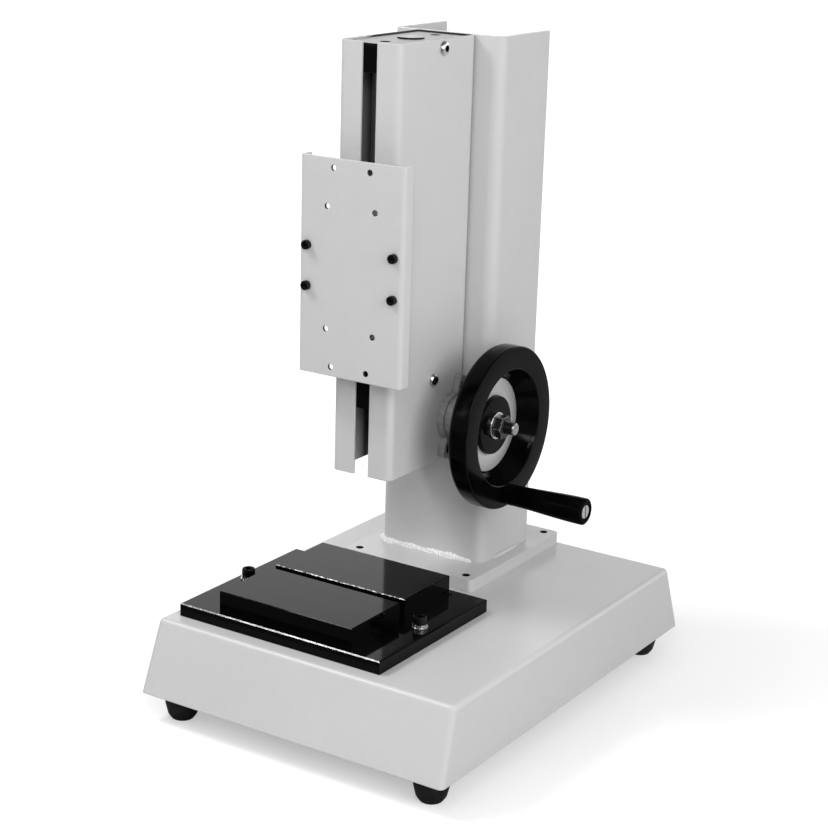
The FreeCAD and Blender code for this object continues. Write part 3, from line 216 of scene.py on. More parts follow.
def thread(start, end, radius, pitch, depth, crest, axis, centre, per_pitch=10, columns=64, bore=0.0, lead_in=None):
    """A threaded rod with flat ends: the radius falls from crest to root as a clipped triangle wave of
    (height over pitch minus the angle over a full turn), and fades to the root at both ends."""
    turn = np.linspace(0, TURN, columns, endpoint=False)
    count = max(int((end - start) / pitch * per_pitch), 8)
    along = np.linspace(start, end, count)
    wave = np.abs(((along[:, None] / pitch - turn[None] / TURN) % 1) * 2 - 1)
    flank = np.clip((wave - crest / 2) / max(1 - crest, 1e-6), 0, 1)
    fade_length = lead_in or pitch * 0.8
    fade = np.clip(np.minimum(along - start, end - along) / fade_length, 0, 1)[:, None]
    height = radius - depth * (1 - (1 - flank) * fade)
    rows = [(start, bore)] + [(a, r) for a, r in zip(along, height)] + [(end, bore)]
    return rows_surface(rows, axis, centre, turn)


def make_piece(name, grids, material, body, stands_for=(), sharp=35, inside=None, inside_row=0):
    """One mesh from grids of points: each row joins the next and the last column joins the first.

    Equal points are merged, so poles and seams close, and faces are turned outwards. From inside_row on, the
    faces take the inside material, a painted shade down in a socket.
    """
    places, faces, kinds, start = [], [], [], 0
    for grid in grids:
        rows, columns = grid.shape[:2]
        index = start + np.arange(rows * columns).reshape(rows, columns)
        beside = np.roll(index, -1, axis=1)
        faces.append(np.stack([index[:-1], index[1:], beside[1:], beside[:-1]], -1).reshape(-1, 4))
        kinds.append(np.repeat(np.arange(rows - 1) >= inside_row, columns).astype(int))
        places.append(grid.reshape(-1, 3))
        start += rows * columns
    mesh = bpy.data.meshes.new(name)
    mesh.from_pydata(np.concatenate(places).tolist(), [], np.concatenate(faces).tolist())
    mesh.materials.append(material)
    if inside:
        mesh.materials.append(inside)
        mesh.polygons.foreach_set("material_index", np.concatenate(kinds).astype(np.int32))
    work = bmesh.new()
    work.from_mesh(mesh)
    bmesh.ops.remove_doubles(work, verts=work.verts, dist=1e-7)
    bmesh.ops.dissolve_degenerate(work, dist=1e-8, edges=work.edges)
    bmesh.ops.recalc_face_normals(work, faces=work.faces)
    work.to_mesh(mesh)
    work.free()
    mesh.shade_smooth()
    mesh.set_sharp_from_angle(angle=math.radians(sharp))
    piece = bpy.data.objects.new(name, mesh)
    bpy.context.scene.collection.objects.link(piece)
    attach(piece, body)
    if stands_for:
        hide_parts(*stands_for)
    return piece


def socket_screw(head, height, socket, shank, reach, turn, knurls=30):
    """Rows of a socket head screw: shank, head with a cosine knurl, bevel, and a six-sided socket."""
    flats = hexagon(socket, turn)
    grip = head - 0.022 * head * (1 + np.cos(knurls * turn))
    return [(-reach, 0), (-reach, shank * 0.8), (-reach + shank * 0.2, shank), (0, shank), (0, head * 0.94),
            (height * 0.04, head * 0.975), (height * 0.08, grip), (height * 0.80, grip),
            (height * 0.83, head * 0.975), (height * 0.90, head * 0.965), (height * 0.97, head * 0.93),
            (height, head * 0.87), (height, flats.max() * 1.06), (height * 0.97, flats),
            (height * 0.52, flats), (height * 0.47, 0)]


def button_screw(head, height, socket, shank, reach, turn):
    """Rows of a button head screw: its dome is a quarter ellipse that ends at a flat round the socket."""
    flats = hexagon(socket, turn)
    share = np.linspace(0, 1, 9)
    dome = [(height * (0.14 + 0.86 * math.sin(s * math.pi / 2)), head * (0.46 + 0.54 * math.cos(s * math.pi / 2)))
            for s in share]
    return [(-reach, 0), (-reach, shank * 0.8), (-reach + shank * 0.2, shank), (0, shank), (0, head * 0.97),
            *dome, (height, flats.max() * 1.05), (height * 0.97, flats), (height * 0.45, flats),
            (height * 0.40, 0)]


# Nodes

def add(tree, kind, inputs=None, **settings):
    """Adds a node with its settings; each input is a value, or a socket to link from."""
    made = tree.nodes.new(kind)
    for key, value in settings.items():
        setattr(made, key, value)
    for key, value in (inputs or {}).items():
        if isinstance(value, bpy.types.NodeSocket):
            tree.links.new(value, made.inputs[key])
        else:
            made.inputs[key].default_value = value
    return made


def new_material(name, metallic=0.0, roughness=0.5, specular=0.5, coat=0.0, coat_roughness=0.05):
    """An empty material with its Principled shader and Object coordinates. Uniform values sit on the shader."""
    material = bpy.data.materials.new(name)
    material.use_nodes = True
    tree = material.node_tree
    tree.nodes.clear()
    shader = add(tree, "ShaderNodeBsdfPrincipled", {"Metallic": metallic, "Roughness": roughness,
                                                    "Specular IOR Level": specular, "Coat Weight": coat,
                                                    "Coat Roughness": coat_roughness})
    add(tree, "ShaderNodeOutputMaterial", {"Surface": shader.outputs[0]})
    place = add(tree, "ShaderNodeTexCoord").outputs["Object"]
    return material, tree, shader, place


def tint(code_or_colour, factor):
    """A colour with its brightness scaled, with full alpha."""
    return tuple(min(1.0, c * factor) for c in tuple(code_or_colour)[:3]) + (1.0,)


def clouds(tree, place, millimetres, low, high, detail=3.0, start=0.3, end=0.7):
    """Cloudy noise with features of about a size, spread between a low and a high value."""
    noise = add(tree, "ShaderNodeTexNoise", {"Vector": place, "Scale": 1 / (millimetres * MM), "Detail": detail})
    return add(tree, "ShaderNodeMapRange", {"Value": noise.outputs["Fac"], "From Min": start, "From Max": end,
                                            "To Min": low, "To Max": high}).outputs["Result"]


def edge_share(tree, millimetres):
    """1 on edges and 0 on flats: how far the softened normal leans away from the true one."""
    soft = add(tree, "ShaderNodeBevel", {"Radius": millimetres * MM}, samples=4)
    true = add(tree, "ShaderNodeNewGeometry")
    lean = add(tree, "ShaderNodeVectorMath", {0: soft.outputs[0], 1: true.outputs["Normal"]}, operation="DOT_PRODUCT")
    return add(tree, "ShaderNodeMapRange", {"Value": lean.outputs["Value"], "From Min": 0.80, "From Max": 0.995,
                                            "To Min": 1.0, "To Max": 0.0}).outputs["Result"]


def facing(tree, way):
    """How far the true face looks towards a direction: 1 straight at it, 0 across it, -1 away from it."""
    true = add(tree, "ShaderNodeNewGeometry").outputs["True Normal"]
    return add(tree, "ShaderNodeVectorMath", {0: true, 1: way}, operation="DOT_PRODUCT").outputs["Value"]


def finished(material):
    """Tree, shader and skin colour of a material that is to be worked on further."""
    tree = material.node_tree
    shader = next(node for node in tree.nodes if node.type == "BSDF_PRINCIPLED")
    return tree, shader, shader.inputs["Base Color"].links[0].from_socket


def paint_shade(tree, shader, skin, share):
    """Turns the skin near black by a share: painted shade, as in holes and deep in a channel."""
    dark = add(tree, "ShaderNodeMix", {0: share, 6: skin, 7: (0.004, 0.004, 0.004, 1)}, data_type="RGBA")
    tree.links.new(dark.outputs[2], shader.inputs["Base Color"])


def relief(tree, shader, height, strength, millimetres, edge_radius=0.0):
    """Relief of a depth in millimetres on the shader's normal, over edges softened by a radius in millimetres."""
    inputs = {"Height": height, "Strength": strength, "Distance": millimetres * MM}
    if edge_radius:
        inputs["Normal"] = add(tree, "ShaderNodeBevel", {"Radius": edge_radius * MM}, samples=6).outputs[0]
    tree.links.new(add(tree, "ShaderNodeBump", inputs).outputs[0], shader.inputs["Normal"])


def powder_coat(name, base, lumps=0.0):
    """Baked polyester powder on sheet steel: an even satin skin whose fine orange peel softens reflections, with a
    painted highlight that lightens its edges, and a faint drift of tone over a hand's width. Over a weld it is lumpy
    and shinier, with painted glints as lighter and darker specks."""
    material, tree, shader, place = new_material(name, roughness=0.34, specular=0.5)
    drift = clouds(tree, place, 90, 0.0, 0.6, 2.0)
    fine = clouds(tree, place, 7, 0.0, 0.4, 2.0)
    both = add(tree, "ShaderNodeMath", {0: drift, 1: fine}, operation="ADD").outputs[0]
    skin = add(tree, "ShaderNodeMix", {0: both, 6: tint(base, 0.975), 7: tint(base, 1.02)}, data_type="RGBA")
    # Painted highlight: edges are lightened 1.15 times
    lit = add(tree, "ShaderNodeMix", {0: edge_share(tree, 0.8), 6: skin.outputs[2], 7: tint(base, 1.15)},
              data_type="RGBA")
    tree.links.new(lit.outputs[2], shader.inputs["Base Color"])
    if lumps:
        # Painted glints: cloudy lighter and darker specks over the weld's lumps
        glint_specks = add(tree, "ShaderNodeMix", {0: clouds(tree, place, 2.6, 0.0, 1.0, 4.0), 6: tint(base, 0.85),
                                            7: tint(base, 1.2)}, data_type="RGBA")
        tree.links.new(glint_specks.outputs[2], shader.inputs["Base Color"])
        tree.links.new(clouds(tree, place, 3, 0.16, 0.34), shader.inputs["Roughness"])
        relief(tree, shader, clouds(tree, place, 1.6, 0.0, 1.0, 4.0), 0.5, lumps)
        return material
    tree.links.new(clouds(tree, place, 7, 0.30, 0.38), shader.inputs["Roughness"])
    # Real peel is about 0.5 mm across; 1.4 mm is the finest that shows at this distance.
    relief(tree, shader, clouds(tree, place, 1.4, 0.0, 1.0, 2.0), 0.25, 0.02, 0.9)
    return material


def powder_coat_with_shaded_holes(name, base, centres, radius, across):
    """The same powder coat on a plate with painted shade in its holes: near black within a radius of each hole's axis.
    The plate lies in the plane of the two axes marked 1 in across."""
    material = powder_coat(name, base)
    tree, shader, skin = finished(material)
    place = add(tree, "ShaderNodeTexCoord").outputs["Object"]
    flat = add(tree, "ShaderNodeVectorMath", {0: place, 1: across}, operation="MULTIPLY").outputs[0]
    near = None
    for centre in centres:
        gap = add(tree, "ShaderNodeVectorMath", {0: flat, 1: centre}, operation="DISTANCE").outputs["Value"]
        near = gap if near is None else add(tree, "ShaderNodeMath", {0: near, 1: gap}, operation="MINIMUM").outputs[0]
    # Painted shade: near black inside each hole
    inside = add(tree, "ShaderNodeMath", {0: near, 1: radius}, operation="LESS_THAN").outputs[0]
    paint_shade(tree, shader, skin, inside)
    return material


def powder_coat_with_shaded_channel(name, base, box):
    """The same powder coat on the screw housing, with painted shade: faces inside the channel turn near black with
    depth from the front, and faces that look up along the top edge go most of the way to black."""
    material = powder_coat(name, base)
    tree, shader, skin = finished(material)
    place = add(tree, "ShaderNodeTexCoord").outputs["Object"]
    low, high = box
    way = add(tree, "ShaderNodeSeparateXYZ", {0: place})
    aside = add(tree, "ShaderNodeMath", {0: way.outputs["X"], 1: (low.x + high.x) / 2}, operation="SUBTRACT")
    apart = add(tree, "ShaderNodeMath", {0: aside.outputs[0]}, operation="ABSOLUTE")
    within = add(tree, "ShaderNodeMath", {0: apart.outputs[0], 1: (high.x - low.x) / 2 - 1 * MM},
                 operation="LESS_THAN").outputs[0]
    # Painted shade: inner faces darken between 29 and 40 mm behind the front
    depth = add(tree, "ShaderNodeMapRange", {"Value": way.outputs["Y"], "From Min": low.y + 29 * MM,
                                             "From Max": low.y + 40 * MM}).outputs["Result"]
    # Painted shade on faces that look up, along the top edge
    top_facing = add(tree, "ShaderNodeMath", {0: facing(tree, (0, 0, 1)), 1: 0.9}, operation="GREATER_THAN").outputs[0]
    deep_shade = add(tree, "ShaderNodeMath", {0: within, 1: depth}, operation="MULTIPLY").outputs[0]
    edge = add(tree, "ShaderNodeMath", {0: top_facing, 1: 0.6}, operation="MULTIPLY").outputs[0]
    share = add(tree, "ShaderNodeMath", {0: deep_shade, 1: edge}, operation="MAXIMUM").outputs[0]
    paint_shade(tree, shader, skin, share)
    return material


def gloss_enamel(name, base, most, least):
    """Stoved black enamel on ground steel: a black mirror with a long soft waviness, a few dust nibs and faint
    rubs. Its top front bevel carries a painted highlight line: it is made light grey metal by a share that
    wanders between the least and the most."""
    material, tree, shader, place = new_material(name, roughness=0.07, specular=0.065)
    dust = add(tree, "ShaderNodeTexVoronoi", {"Vector": place, "Scale": 1 / (11 * MM), "Randomness": 1.0})
    speck = add(tree, "ShaderNodeMapRange", {"Value": dust.outputs["Distance"], "From Min": 0.02, "From Max": 0.04,
                                             "To Min": 0.25, "To Max": 0.0}).outputs["Result"]
    # Painted highlight: the top front bevel turns light grey metal by a cloudy share
    slope = add(tree, "ShaderNodeMath", {0: facing(tree, (0, 0, 1)), 1: facing(tree, (0, -1, 0))},
                operation="MULTIPLY").outputs[0]
    bevel = add(tree, "ShaderNodeMath", {0: slope, 1: 0.3}, operation="GREATER_THAN").outputs[0]
    bevel_highlight_share = clouds(tree, place, 4, least, most, 4.0, 0.42, 0.58)
    metal = add(tree, "ShaderNodeMath", {0: bevel, 1: bevel_highlight_share}, operation="MULTIPLY", use_clamp=True).outputs[0]
    share = add(tree, "ShaderNodeMath", {0: metal, 1: speck}, operation="MAXIMUM").outputs[0]
    skin = add(tree, "ShaderNodeMix", {0: share, 6: tint(base, 1.0), 7: linear("#8E8E90") + (1.0,)},
               data_type="RGBA")
    tree.links.new(skin.outputs[2], shader.inputs["Base Color"])
    tree.links.new(metal, shader.inputs["Metallic"])
    rubs = add(tree, "ShaderNodeMapping", {"Vector": place, "Scale": (1.0, 14.0, 14.0)}).outputs[0]
    polish = clouds(tree, rubs, 60, 0.04, 0.11, 4.0)
    dulled = add(tree, "ShaderNodeMath", {0: metal, 1: 0.22, 2: polish}, operation="MULTIPLY_ADD").outputs[0]
    tree.links.new(dulled, shader.inputs["Roughness"])
    relief(tree, shader, clouds(tree, place, 22, 0.0, 1.0, 1.0), 0.08, 0.05)
    return material


def anodised(name, base):
    """Black anodised aluminium, milled first: dull black with faint cutter lines, and edges five times brighter,
    partly broken edges and partly a painted highlight.
    """
    material, tree, shader, place = new_material(name, roughness=0.42, specular=0.04)
    lines = add(tree, "ShaderNodeMapping", {"Vector": place, "Scale": (1.0, 1.0, 22.0)}).outputs[0]
    cut = clouds(tree, lines, 14, 0.0, 1.0, 4.0)
    skin = add(tree, "ShaderNodeMix", {0: cut, 6: tint(base, 0.7), 7: tint(base, 1.4)}, data_type="RGBA")
    # Edges five times brighter: broken edges and a painted highlight
    lit = add(tree, "ShaderNodeMix", {0: edge_share(tree, 0.5), 6: skin.outputs[2], 7: tint(base, 5.0)},
              data_type="RGBA")
    tree.links.new(lit.outputs[2], shader.inputs["Base Color"])
    tree.links.new(clouds(tree, lines, 14, 0.34, 0.5, 4.0), shader.inputs["Roughness"])
    relief(tree, shader, cut, 0.2, 0.02, 0.4)
    return material


def moulded_black(name, base, centre, specular=0.065):
    """Compression moulded phenolic: deep gloss black with faint flow rings about its axis and light handling
    marks that break the gloss."""
    material, tree, shader, place = new_material(name, roughness=0.12, specular=specular)
    centred = add(tree, "ShaderNodeMapping", {"Vector": place, "Location": tuple(-c for c in centre)}).outputs[0]
    flat = add(tree, "ShaderNodeVectorMath", {0: centred, 1: (0, 1, 1)}, operation="MULTIPLY").outputs[0]
    radius = add(tree, "ShaderNodeVectorMath", {0: flat}, operation="LENGTH").outputs["Value"]
    ring = add(tree, "ShaderNodeTexNoise", {"W": radius, "Scale": 1 / (1.6 * MM), "Detail": 2.0},
               noise_dimensions="1D").outputs["Fac"]
    marks = clouds(tree, place, 18, 0.0, 1.0, 5.0)
    skin = add(tree, "ShaderNodeMix", {0: marks, 6: tint(base, 0.7), 7: tint(base, 1.9)}, data_type="RGBA")
    tree.links.new(skin.outputs[2], shader.inputs["Base Color"])
    tree.links.new(clouds(tree, place, 18, 0.10, 0.22, 5.0, 0.35, 0.75), shader.inputs["Roughness"])
    relief(tree, shader, ring, 0.06, 0.02)
    return material


def turned(name, base, axis, centre, roughness=0.24, groove_mm=0.55, swing=0.10):
    """Turned metal: fine feed lines run round the axis, as rings on end faces and as hoops on the outside."""
    material, tree, shader, place = new_material(name, metallic=1.0, roughness=roughness)
    centred = add(tree, "ShaderNodeMapping", {"Vector": place, "Location": tuple(-c for c in centre)}).outputs[0]
    along = tuple(abs(a) for a in axis)
    flat = add(tree, "ShaderNodeVectorMath", {0: centred, 1: tuple(1 - a for a in along)}, operation="MULTIPLY")
    radius = add(tree, "ShaderNodeVectorMath", {0: flat.outputs[0]}, operation="LENGTH").outputs["Value"]
    height = add(tree, "ShaderNodeVectorMath", {0: centred, 1: along}, operation="DOT_PRODUCT").outputs["Value"]
    travel = add(tree, "ShaderNodeMath", {0: radius, 1: height}, operation="ADD").outputs[0]
    feed = add(tree, "ShaderNodeTexNoise", {"W": travel, "Scale": 1 / (groove_mm * MM), "Detail": 3.0},
               noise_dimensions="1D").outputs["Fac"]
    skin = add(tree, "ShaderNodeMix", {0: feed, 6: tint(base, 0.72), 7: tint(base, 1.15)}, data_type="RGBA")
    tree.links.new(skin.outputs[2], shader.inputs["Base Color"])
    tree.links.new(clouds(tree, place, 5, roughness - swing / 2, roughness + swing), shader.inputs["Roughness"])
    relief(tree, shader, feed, 0.25, 0.02, 0.15)
    return material


def plated(name, base, roughness=0.2):
    """Bright zinc plate: clear silver with small crystalline clouds and slightly dulled hollows."""
    material, tree, shader, place = new_material(name, metallic=1.0, roughness=roughness)
    cells = add(tree, "ShaderNodeTexVoronoi", {"Vector": place, "Scale": 1 / (1.6 * MM)}).outputs["Distance"]
    cloud = clouds(tree, place, 3, 0.0, 1.0)
    skin = add(tree, "ShaderNodeMix", {0: cloud, 6: tint(base, 0.86), 7: tint(base, 1.05)}, data_type="RGBA")
    dull = add(tree, "ShaderNodeMapRange", {"Value": cells, "From Min": 0.1, "From Max": 0.8,
                                            "To Min": roughness * 0.8, "To Max": roughness * 1.6})
    tree.links.new(skin.outputs[2], shader.inputs["Base Color"])
    tree.links.new(dull.outputs["Result"], shader.inputs["Roughness"])
    relief(tree, shader, cloud, 0.15, 0.01, 0.15)
    return material


def black_oxide(name, base, specular=0.2, highlight_and_wear_gain=9.0, highlight_and_wear_mm=0.25):
    """Blackened alloy steel: oily dark metal, brighter by a factor on edges of a width in millimetres, partly wear on
    knurl tips and socket rims and partly a painted highlight."""
    material, tree, shader, place = new_material(name, roughness=0.3, specular=specular)
    skin = add(tree, "ShaderNodeMix", {0: clouds(tree, place, 1.2, 0.0, 1.0), 6: tint(base, 0.7),
                                       7: tint(base, 1.6)}, data_type="RGBA")
    # Edges brighter by a factor: wear and a painted highlight
    lit = add(tree, "ShaderNodeMix", {0: edge_share(tree, highlight_and_wear_mm), 6: skin.outputs[2], 7: tint(base, highlight_and_wear_gain)},
              data_type="RGBA")
    tree.links.new(lit.outputs[2], shader.inputs["Base Color"])
    tree.links.new(clouds(tree, place, 1.2, 0.22, 0.36), shader.inputs["Roughness"])
    relief(tree, shader, clouds(tree, place, 1.2, 0.0, 1.0), 0.15, 0.01)
    return material


def cast_metal(name, base):
    """Sand cast iron bearing housing under thin grey paint: pebbled skin, soft cast edges, darker in its pits."""
    material, tree, shader, place = new_material(name, roughness=0.5, specular=0.4)
    skin = add(tree, "ShaderNodeMix", {0: clouds(tree, place, 4, 0.0, 1.0, 4.0), 6: tint(base, 0.74),
                                       7: tint(base, 1.2)}, data_type="RGBA")
    tree.links.new(skin.outputs[2], shader.inputs["Base Color"])
    tree.links.new(clouds(tree, place, 4, 0.42, 0.6, 4.0), shader.inputs["Roughness"])
    relief(tree, shader, clouds(tree, place, 0.9, 0.0, 1.0), 0.45, 0.05, 0.7)
    return material


def dull_plate(name, base, gap_shade_box=None):
    """Dull zinc plated steel, brushed first: long strokes along the plate break the light into streaks. Inside a
    box given for the gap shade, the border is near black: painted shade in the gap round a let-in plate."""
    material, tree, shader, place = new_material(name, metallic=0.85, roughness=0.45)
    strokes = add(tree, "ShaderNodeMapping", {"Vector": place, "Scale": (30.0, 1.0, 1.0)}).outputs[0]
    grain = clouds(tree, strokes, 16, 0.0, 1.0, 5.0)
    skin = add(tree, "ShaderNodeMix", {0: grain, 6: tint(base, 0.82), 7: tint(base, 1.12)},
               data_type="RGBA").outputs[2]
    # Painted shade: near black within about 2 mm of the box's border
    if gap_shade_box:
        low, high = gap_shade_box
        centred = add(tree, "ShaderNodeVectorMath", {0: place, 1: (low + high) / 2}, operation="SUBTRACT").outputs[0]
        aside = add(tree, "ShaderNodeVectorMath", {0: centred}, operation="ABSOLUTE").outputs[0]
        inset = add(tree, "ShaderNodeVectorMath", {0: (high - low) / 2, 1: aside}, operation="SUBTRACT").outputs[0]
        way = add(tree, "ShaderNodeSeparateXYZ", {0: inset})
        border = add(tree, "ShaderNodeMath", {0: way.outputs["X"], 1: way.outputs["Y"]}, operation="MINIMUM")
        away_from_gap = add(tree, "ShaderNodeMapRange", {"Value": border.outputs[0], "From Min": 0.6 * MM,
                                                 "From Max": 2.0 * MM})
        skin = add(tree, "ShaderNodeMix", {0: away_from_gap.outputs["Result"], 6: tint(base, 0.03), 7: skin},
                   data_type="RGBA").outputs[2]
    tree.links.new(skin, shader.inputs["Base Color"])
    tree.links.new(clouds(tree, strokes, 16, 0.36, 0.56, 5.0), shader.inputs["Roughness"])
    relief(tree, shader, grain, 0.2, 0.01, 0.3)
    return material


def cover_disc(name, base, centre):
    """Turned bearing cover: faint rings round its axis on a satin face, and a near black rim on every face that
    doesn't look up.
    """
    material = turned(name, base, (0, 0, 1), centre, 0.4, 0.7, 0.1)
    tree, shader, skin = finished(material)
    # Every face that doesn't look up is near black
    face = add(tree, "ShaderNodeMath", {0: facing(tree, (0, 0, 1)), 1: 0.9}, operation="GREATER_THAN").outputs[0]
    rim = add(tree, "ShaderNodeMix", {0: face, 6: tint(base, 0.015), 7: skin}, data_type="RGBA")
    tree.links.new(rim.outputs[2], shader.inputs["Base Color"])
    return material


def foot_rubber(name, base):
    """Moulded nitrile rubber: matt black with a fine stipple and a little pale dust."""
    material, tree, shader, place = new_material(name, roughness=0.55, specular=0.3)
    skin = add(tree, "ShaderNodeMix", {0: clouds(tree, place, 6, 0.0, 1.0, 4.0, 0.45, 0.8), 6: tint(base, 0.9),
                                       7: tint(base, 3.0)}, data_type="RGBA")
    tree.links.new(skin.outputs[2], shader.inputs["Base Color"])
    tree.links.new(clouds(tree, place, 6, 0.45, 0.7, 4.0), shader.inputs["Roughness"])
    relief(tree, shader, clouds(tree, place, 0.8, 0.0, 1.0, 2.0), 0.3, 0.03)
    return material


finishes = {}


def finish(key, maker, *values):
    """Makes a material the first time it is asked for and gives the same one after that."""
    if key not in finishes:
        finishes[key] = maker(key, *values)
    return finishes[key]


def dress(nodes, material):
    """Puts a material on CAD nodes, whose shapes stay as they are."""
    for name in nodes:
        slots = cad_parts[name].data.materials
        if len(slots) == 0:
            slots.append(material)
        for index in range(len(slots)):
            slots[index] = material


def middle(name):
    """The middle of a CAD node's box."""
    low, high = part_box(name)
    return np.array((low + high) / 2)


def pattern(name, inset, first, second):
    """The four corners of a CAD node's box on two axes, moved in by the radius of a head."""
    low, high = (np.array(corner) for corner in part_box(name))
    places = []
    for a in (low[first] + inset, high[first] - inset):
        for b in (low[second] + inset, high[second] - inset):
            place = (low + high) / 2
            place[first], place[second] = a, b
            places.append(place)
    return places


# Pieces

class STAND_OT_sheet_metal(bpy.types.Operator):
    """Powder coats the base, column, screw housing and gauge plate"""
    bl_idname = "stand.sheet_metal"
    bl_label = "Coated sheet metal"

    def execute(self, context):
        sizes, colours = context.scene.stand_sizes, context.scene.stand_colours
        coat = finish("polyester_powder_coat", powder_coat, colours.paint)
        dress(("base_shell", "column_channel"), coat)
        # The housing gets painted shade deep inside and along its top edge
        dress(("housing_channel",), finish("powder_coat_thin_inside", powder_coat_with_shaded_channel, colours.paint,
                                           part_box("housing_channel")))
        low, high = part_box("column_bolts")
        flat, corner = sizes.bolt_flats / 2, sizes.bolt_flats / 2 / math.cos(math.radians(30))
        centres = [(x, y, 0) for x in (low.x + flat, high.x - flat) for y in (low.y + corner, high.y - corner)]
        # Painted shade in the foot plate's bolt holes
        dress(("column_foot_plate",), finish("powder_coat_with_tapped_holes", powder_coat_with_shaded_holes,
                                             colours.paint, centres, 3.2 * MM, (1, 1, 0)))
        centre = middle("gauge_plate")
        centres = [(centre[0] + side * wide / 2, 0, centre[2] + end * tall / 2)
                   for wide, tall in ((sizes.narrow_across, sizes.narrow_tall), (sizes.wide_across, sizes.wide_tall))
                   for side in (-1, 1) for end in (-1, 1)]
        # Painted shade in the gauge plate's holes
        dress(("gauge_plate",), finish("powder_coat_with_gauge_holes", powder_coat_with_shaded_holes, colours.paint,
                                       centres, sizes.gauge_hole + 0.1 * MM, (1, 0, 1)))
        return {"FINISHED"}


class STAND_OT_weld_beads(bpy.types.Operator):
    """Makes the rippled fillet welds round the foot of the column"""
    bl_idname = "stand.weld_beads"
    bl_label = "Weld beads"

    def execute(self, context):
        sizes, colours = context.scene.stand_sizes, context.scene.stand_colours
        low, high = (np.array(corner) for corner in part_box("column_weld_beads"))
        channel_low, channel_high = (np.array(corner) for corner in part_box("column_channel"))
        bend = sizes.column_bend
        corner = np.array((channel_low[0] + bend, channel_low[1] + bend, low[2]))
        front = channel_high[0] - channel_low[0] - 2 * bend
        # The front bead starts on the left side, follows the column's bend and ends before the right one
        beside, bent = 7 * MM, bend * math.pi / 2
        travel = np.linspace(0, beside + bent + front, 900)[:, None]
        turn = np.clip((travel - beside) / bend, 0, math.pi / 2)
        out = np.concatenate([-np.cos(turn), -np.sin(turn), 0 * turn], axis=1)
        line = (corner + bend * out + np.array([0, 1.0, 0]) * np.maximum(beside - travel, 0)
                + np.array([1.0, 0, 0]) * np.maximum(travel - beside - bent, 0))
        # The weld's coat is 1.45 times the paint's tone: a painted highlight on the bead
        thick = finish("powder_coat_over_weld", powder_coat, tint(colours.paint, 1.45), 0.3)
        make_piece("weld_bead_ripples", [self.bead(sizes, travel, line, out, 1.0, 0.0)], thick, "stand",
                   ("column_weld_beads",), sharp=60)
        behind = bend + 8 * MM
        travel = np.linspace(0, high[1] - channel_low[1] - bend - behind, 400)[:, None]
        grids = []
        for x, side in ((channel_high[0], 1.0), (channel_low[0], -1.0)):
            line = np.array((x, channel_low[1] + behind, low[2])) + travel * np.array([0, 1.0, 0])
            grids.append(self.bead(sizes, travel, line, np.array([[side, 0, 0]]), 0.2, 1.7 + side))
        coat = finish("polyester_powder_coat", powder_coat, colours.paint)
        make_piece("smooth_side_welds", grids, coat, "stand", sharp=60)
        return {"FINISHED"}

    def bead(self, sizes, travel, line, out, strength, phase):
        """A fillet weld along a line: a quarter round section of radius leg (0.42 + strength (ripple + lumps)).

        The ripple is the absolute sine of the travel over the ripple spacing, and leans over the section so that
        each ripple is a crescent; the lumps are three slow sines and a product of two quick ones. The radius
        fades as a square root at both ends.
        """
        leg = sizes.weld_leg
        share = np.linspace(0, math.pi / 2, 16)
        lean = 0.45 * np.sin(2 * share)[None] * sizes.weld_ripple
        ripple = 0.20 * np.abs(np.sin(math.pi * (travel + lean) / sizes.weld_ripple))
        lumps = 0.06 * (np.sin(travel / (3.1 * MM) + phase) + np.sin(travel / (5.3 * MM) + 2 * phase)
                        + np.sin(travel / (9.7 * MM)))
        lumps = lumps + 0.09 * (np.sin(travel / (1.1 * MM) + 3 * share) * np.sin(travel / (1.7 * MM) - 5 * share))
        ends = np.sqrt(np.clip(np.minimum(travel, travel.max() - travel) / (leg * 0.8), 0, 1))
        size = leg * np.clip(0.42 + strength * (ripple + lumps), 0.3, 1.0) * ends
        outward = np.concatenate([size * np.cos(share), 0 * travel], axis=1)
        upward = np.concatenate([size * np.sin(share), 0 * travel], axis=1)
        return line[:, None, :] + outward[:, :, None] * out[:, None, :] + upward[:, :, None] * np.array([0, 0, 1.0])


class STAND_OT_bed(bpy.types.Operator):
    """Gives the bed plate and its two blocks their black enamel"""
    bl_idname = "stand.bed"
    bl_label = "Bed"

    def execute(self, context):
        colours = context.scene.stand_colours
        # The three enamels differ only in how much painted highlight lies on the top front bevel
        dress(("bed_plate",), finish("stoved_black_enamel", gloss_enamel, colours.enamel, 1.0, 0.7))
        dress(("rear_anvil_block",), finish("rubbed_black_enamel", gloss_enamel, colours.enamel, 0.55, 0.0))
        dress(("front_anvil_block",), finish("whole_black_enamel", gloss_enamel, colours.enamel, 0.06, 0.0))
        return {"FINISHED"}


class STAND_OT_blocks(bpy.types.Operator):
    """Gives the bearing blocks, slider and bracket their black anodising"""
    bl_idname = "stand.blocks"
    bl_label = "Anodised blocks"

    def execute(self, context):
        colours = context.scene.stand_colours
        dress(("top_bearing_block", "lower_bearing_block", "slider_block", "gauge_bracket"),
              finish("black_anodised_aluminium", anodised, colours.anodised))
        return {"FINISHED"}


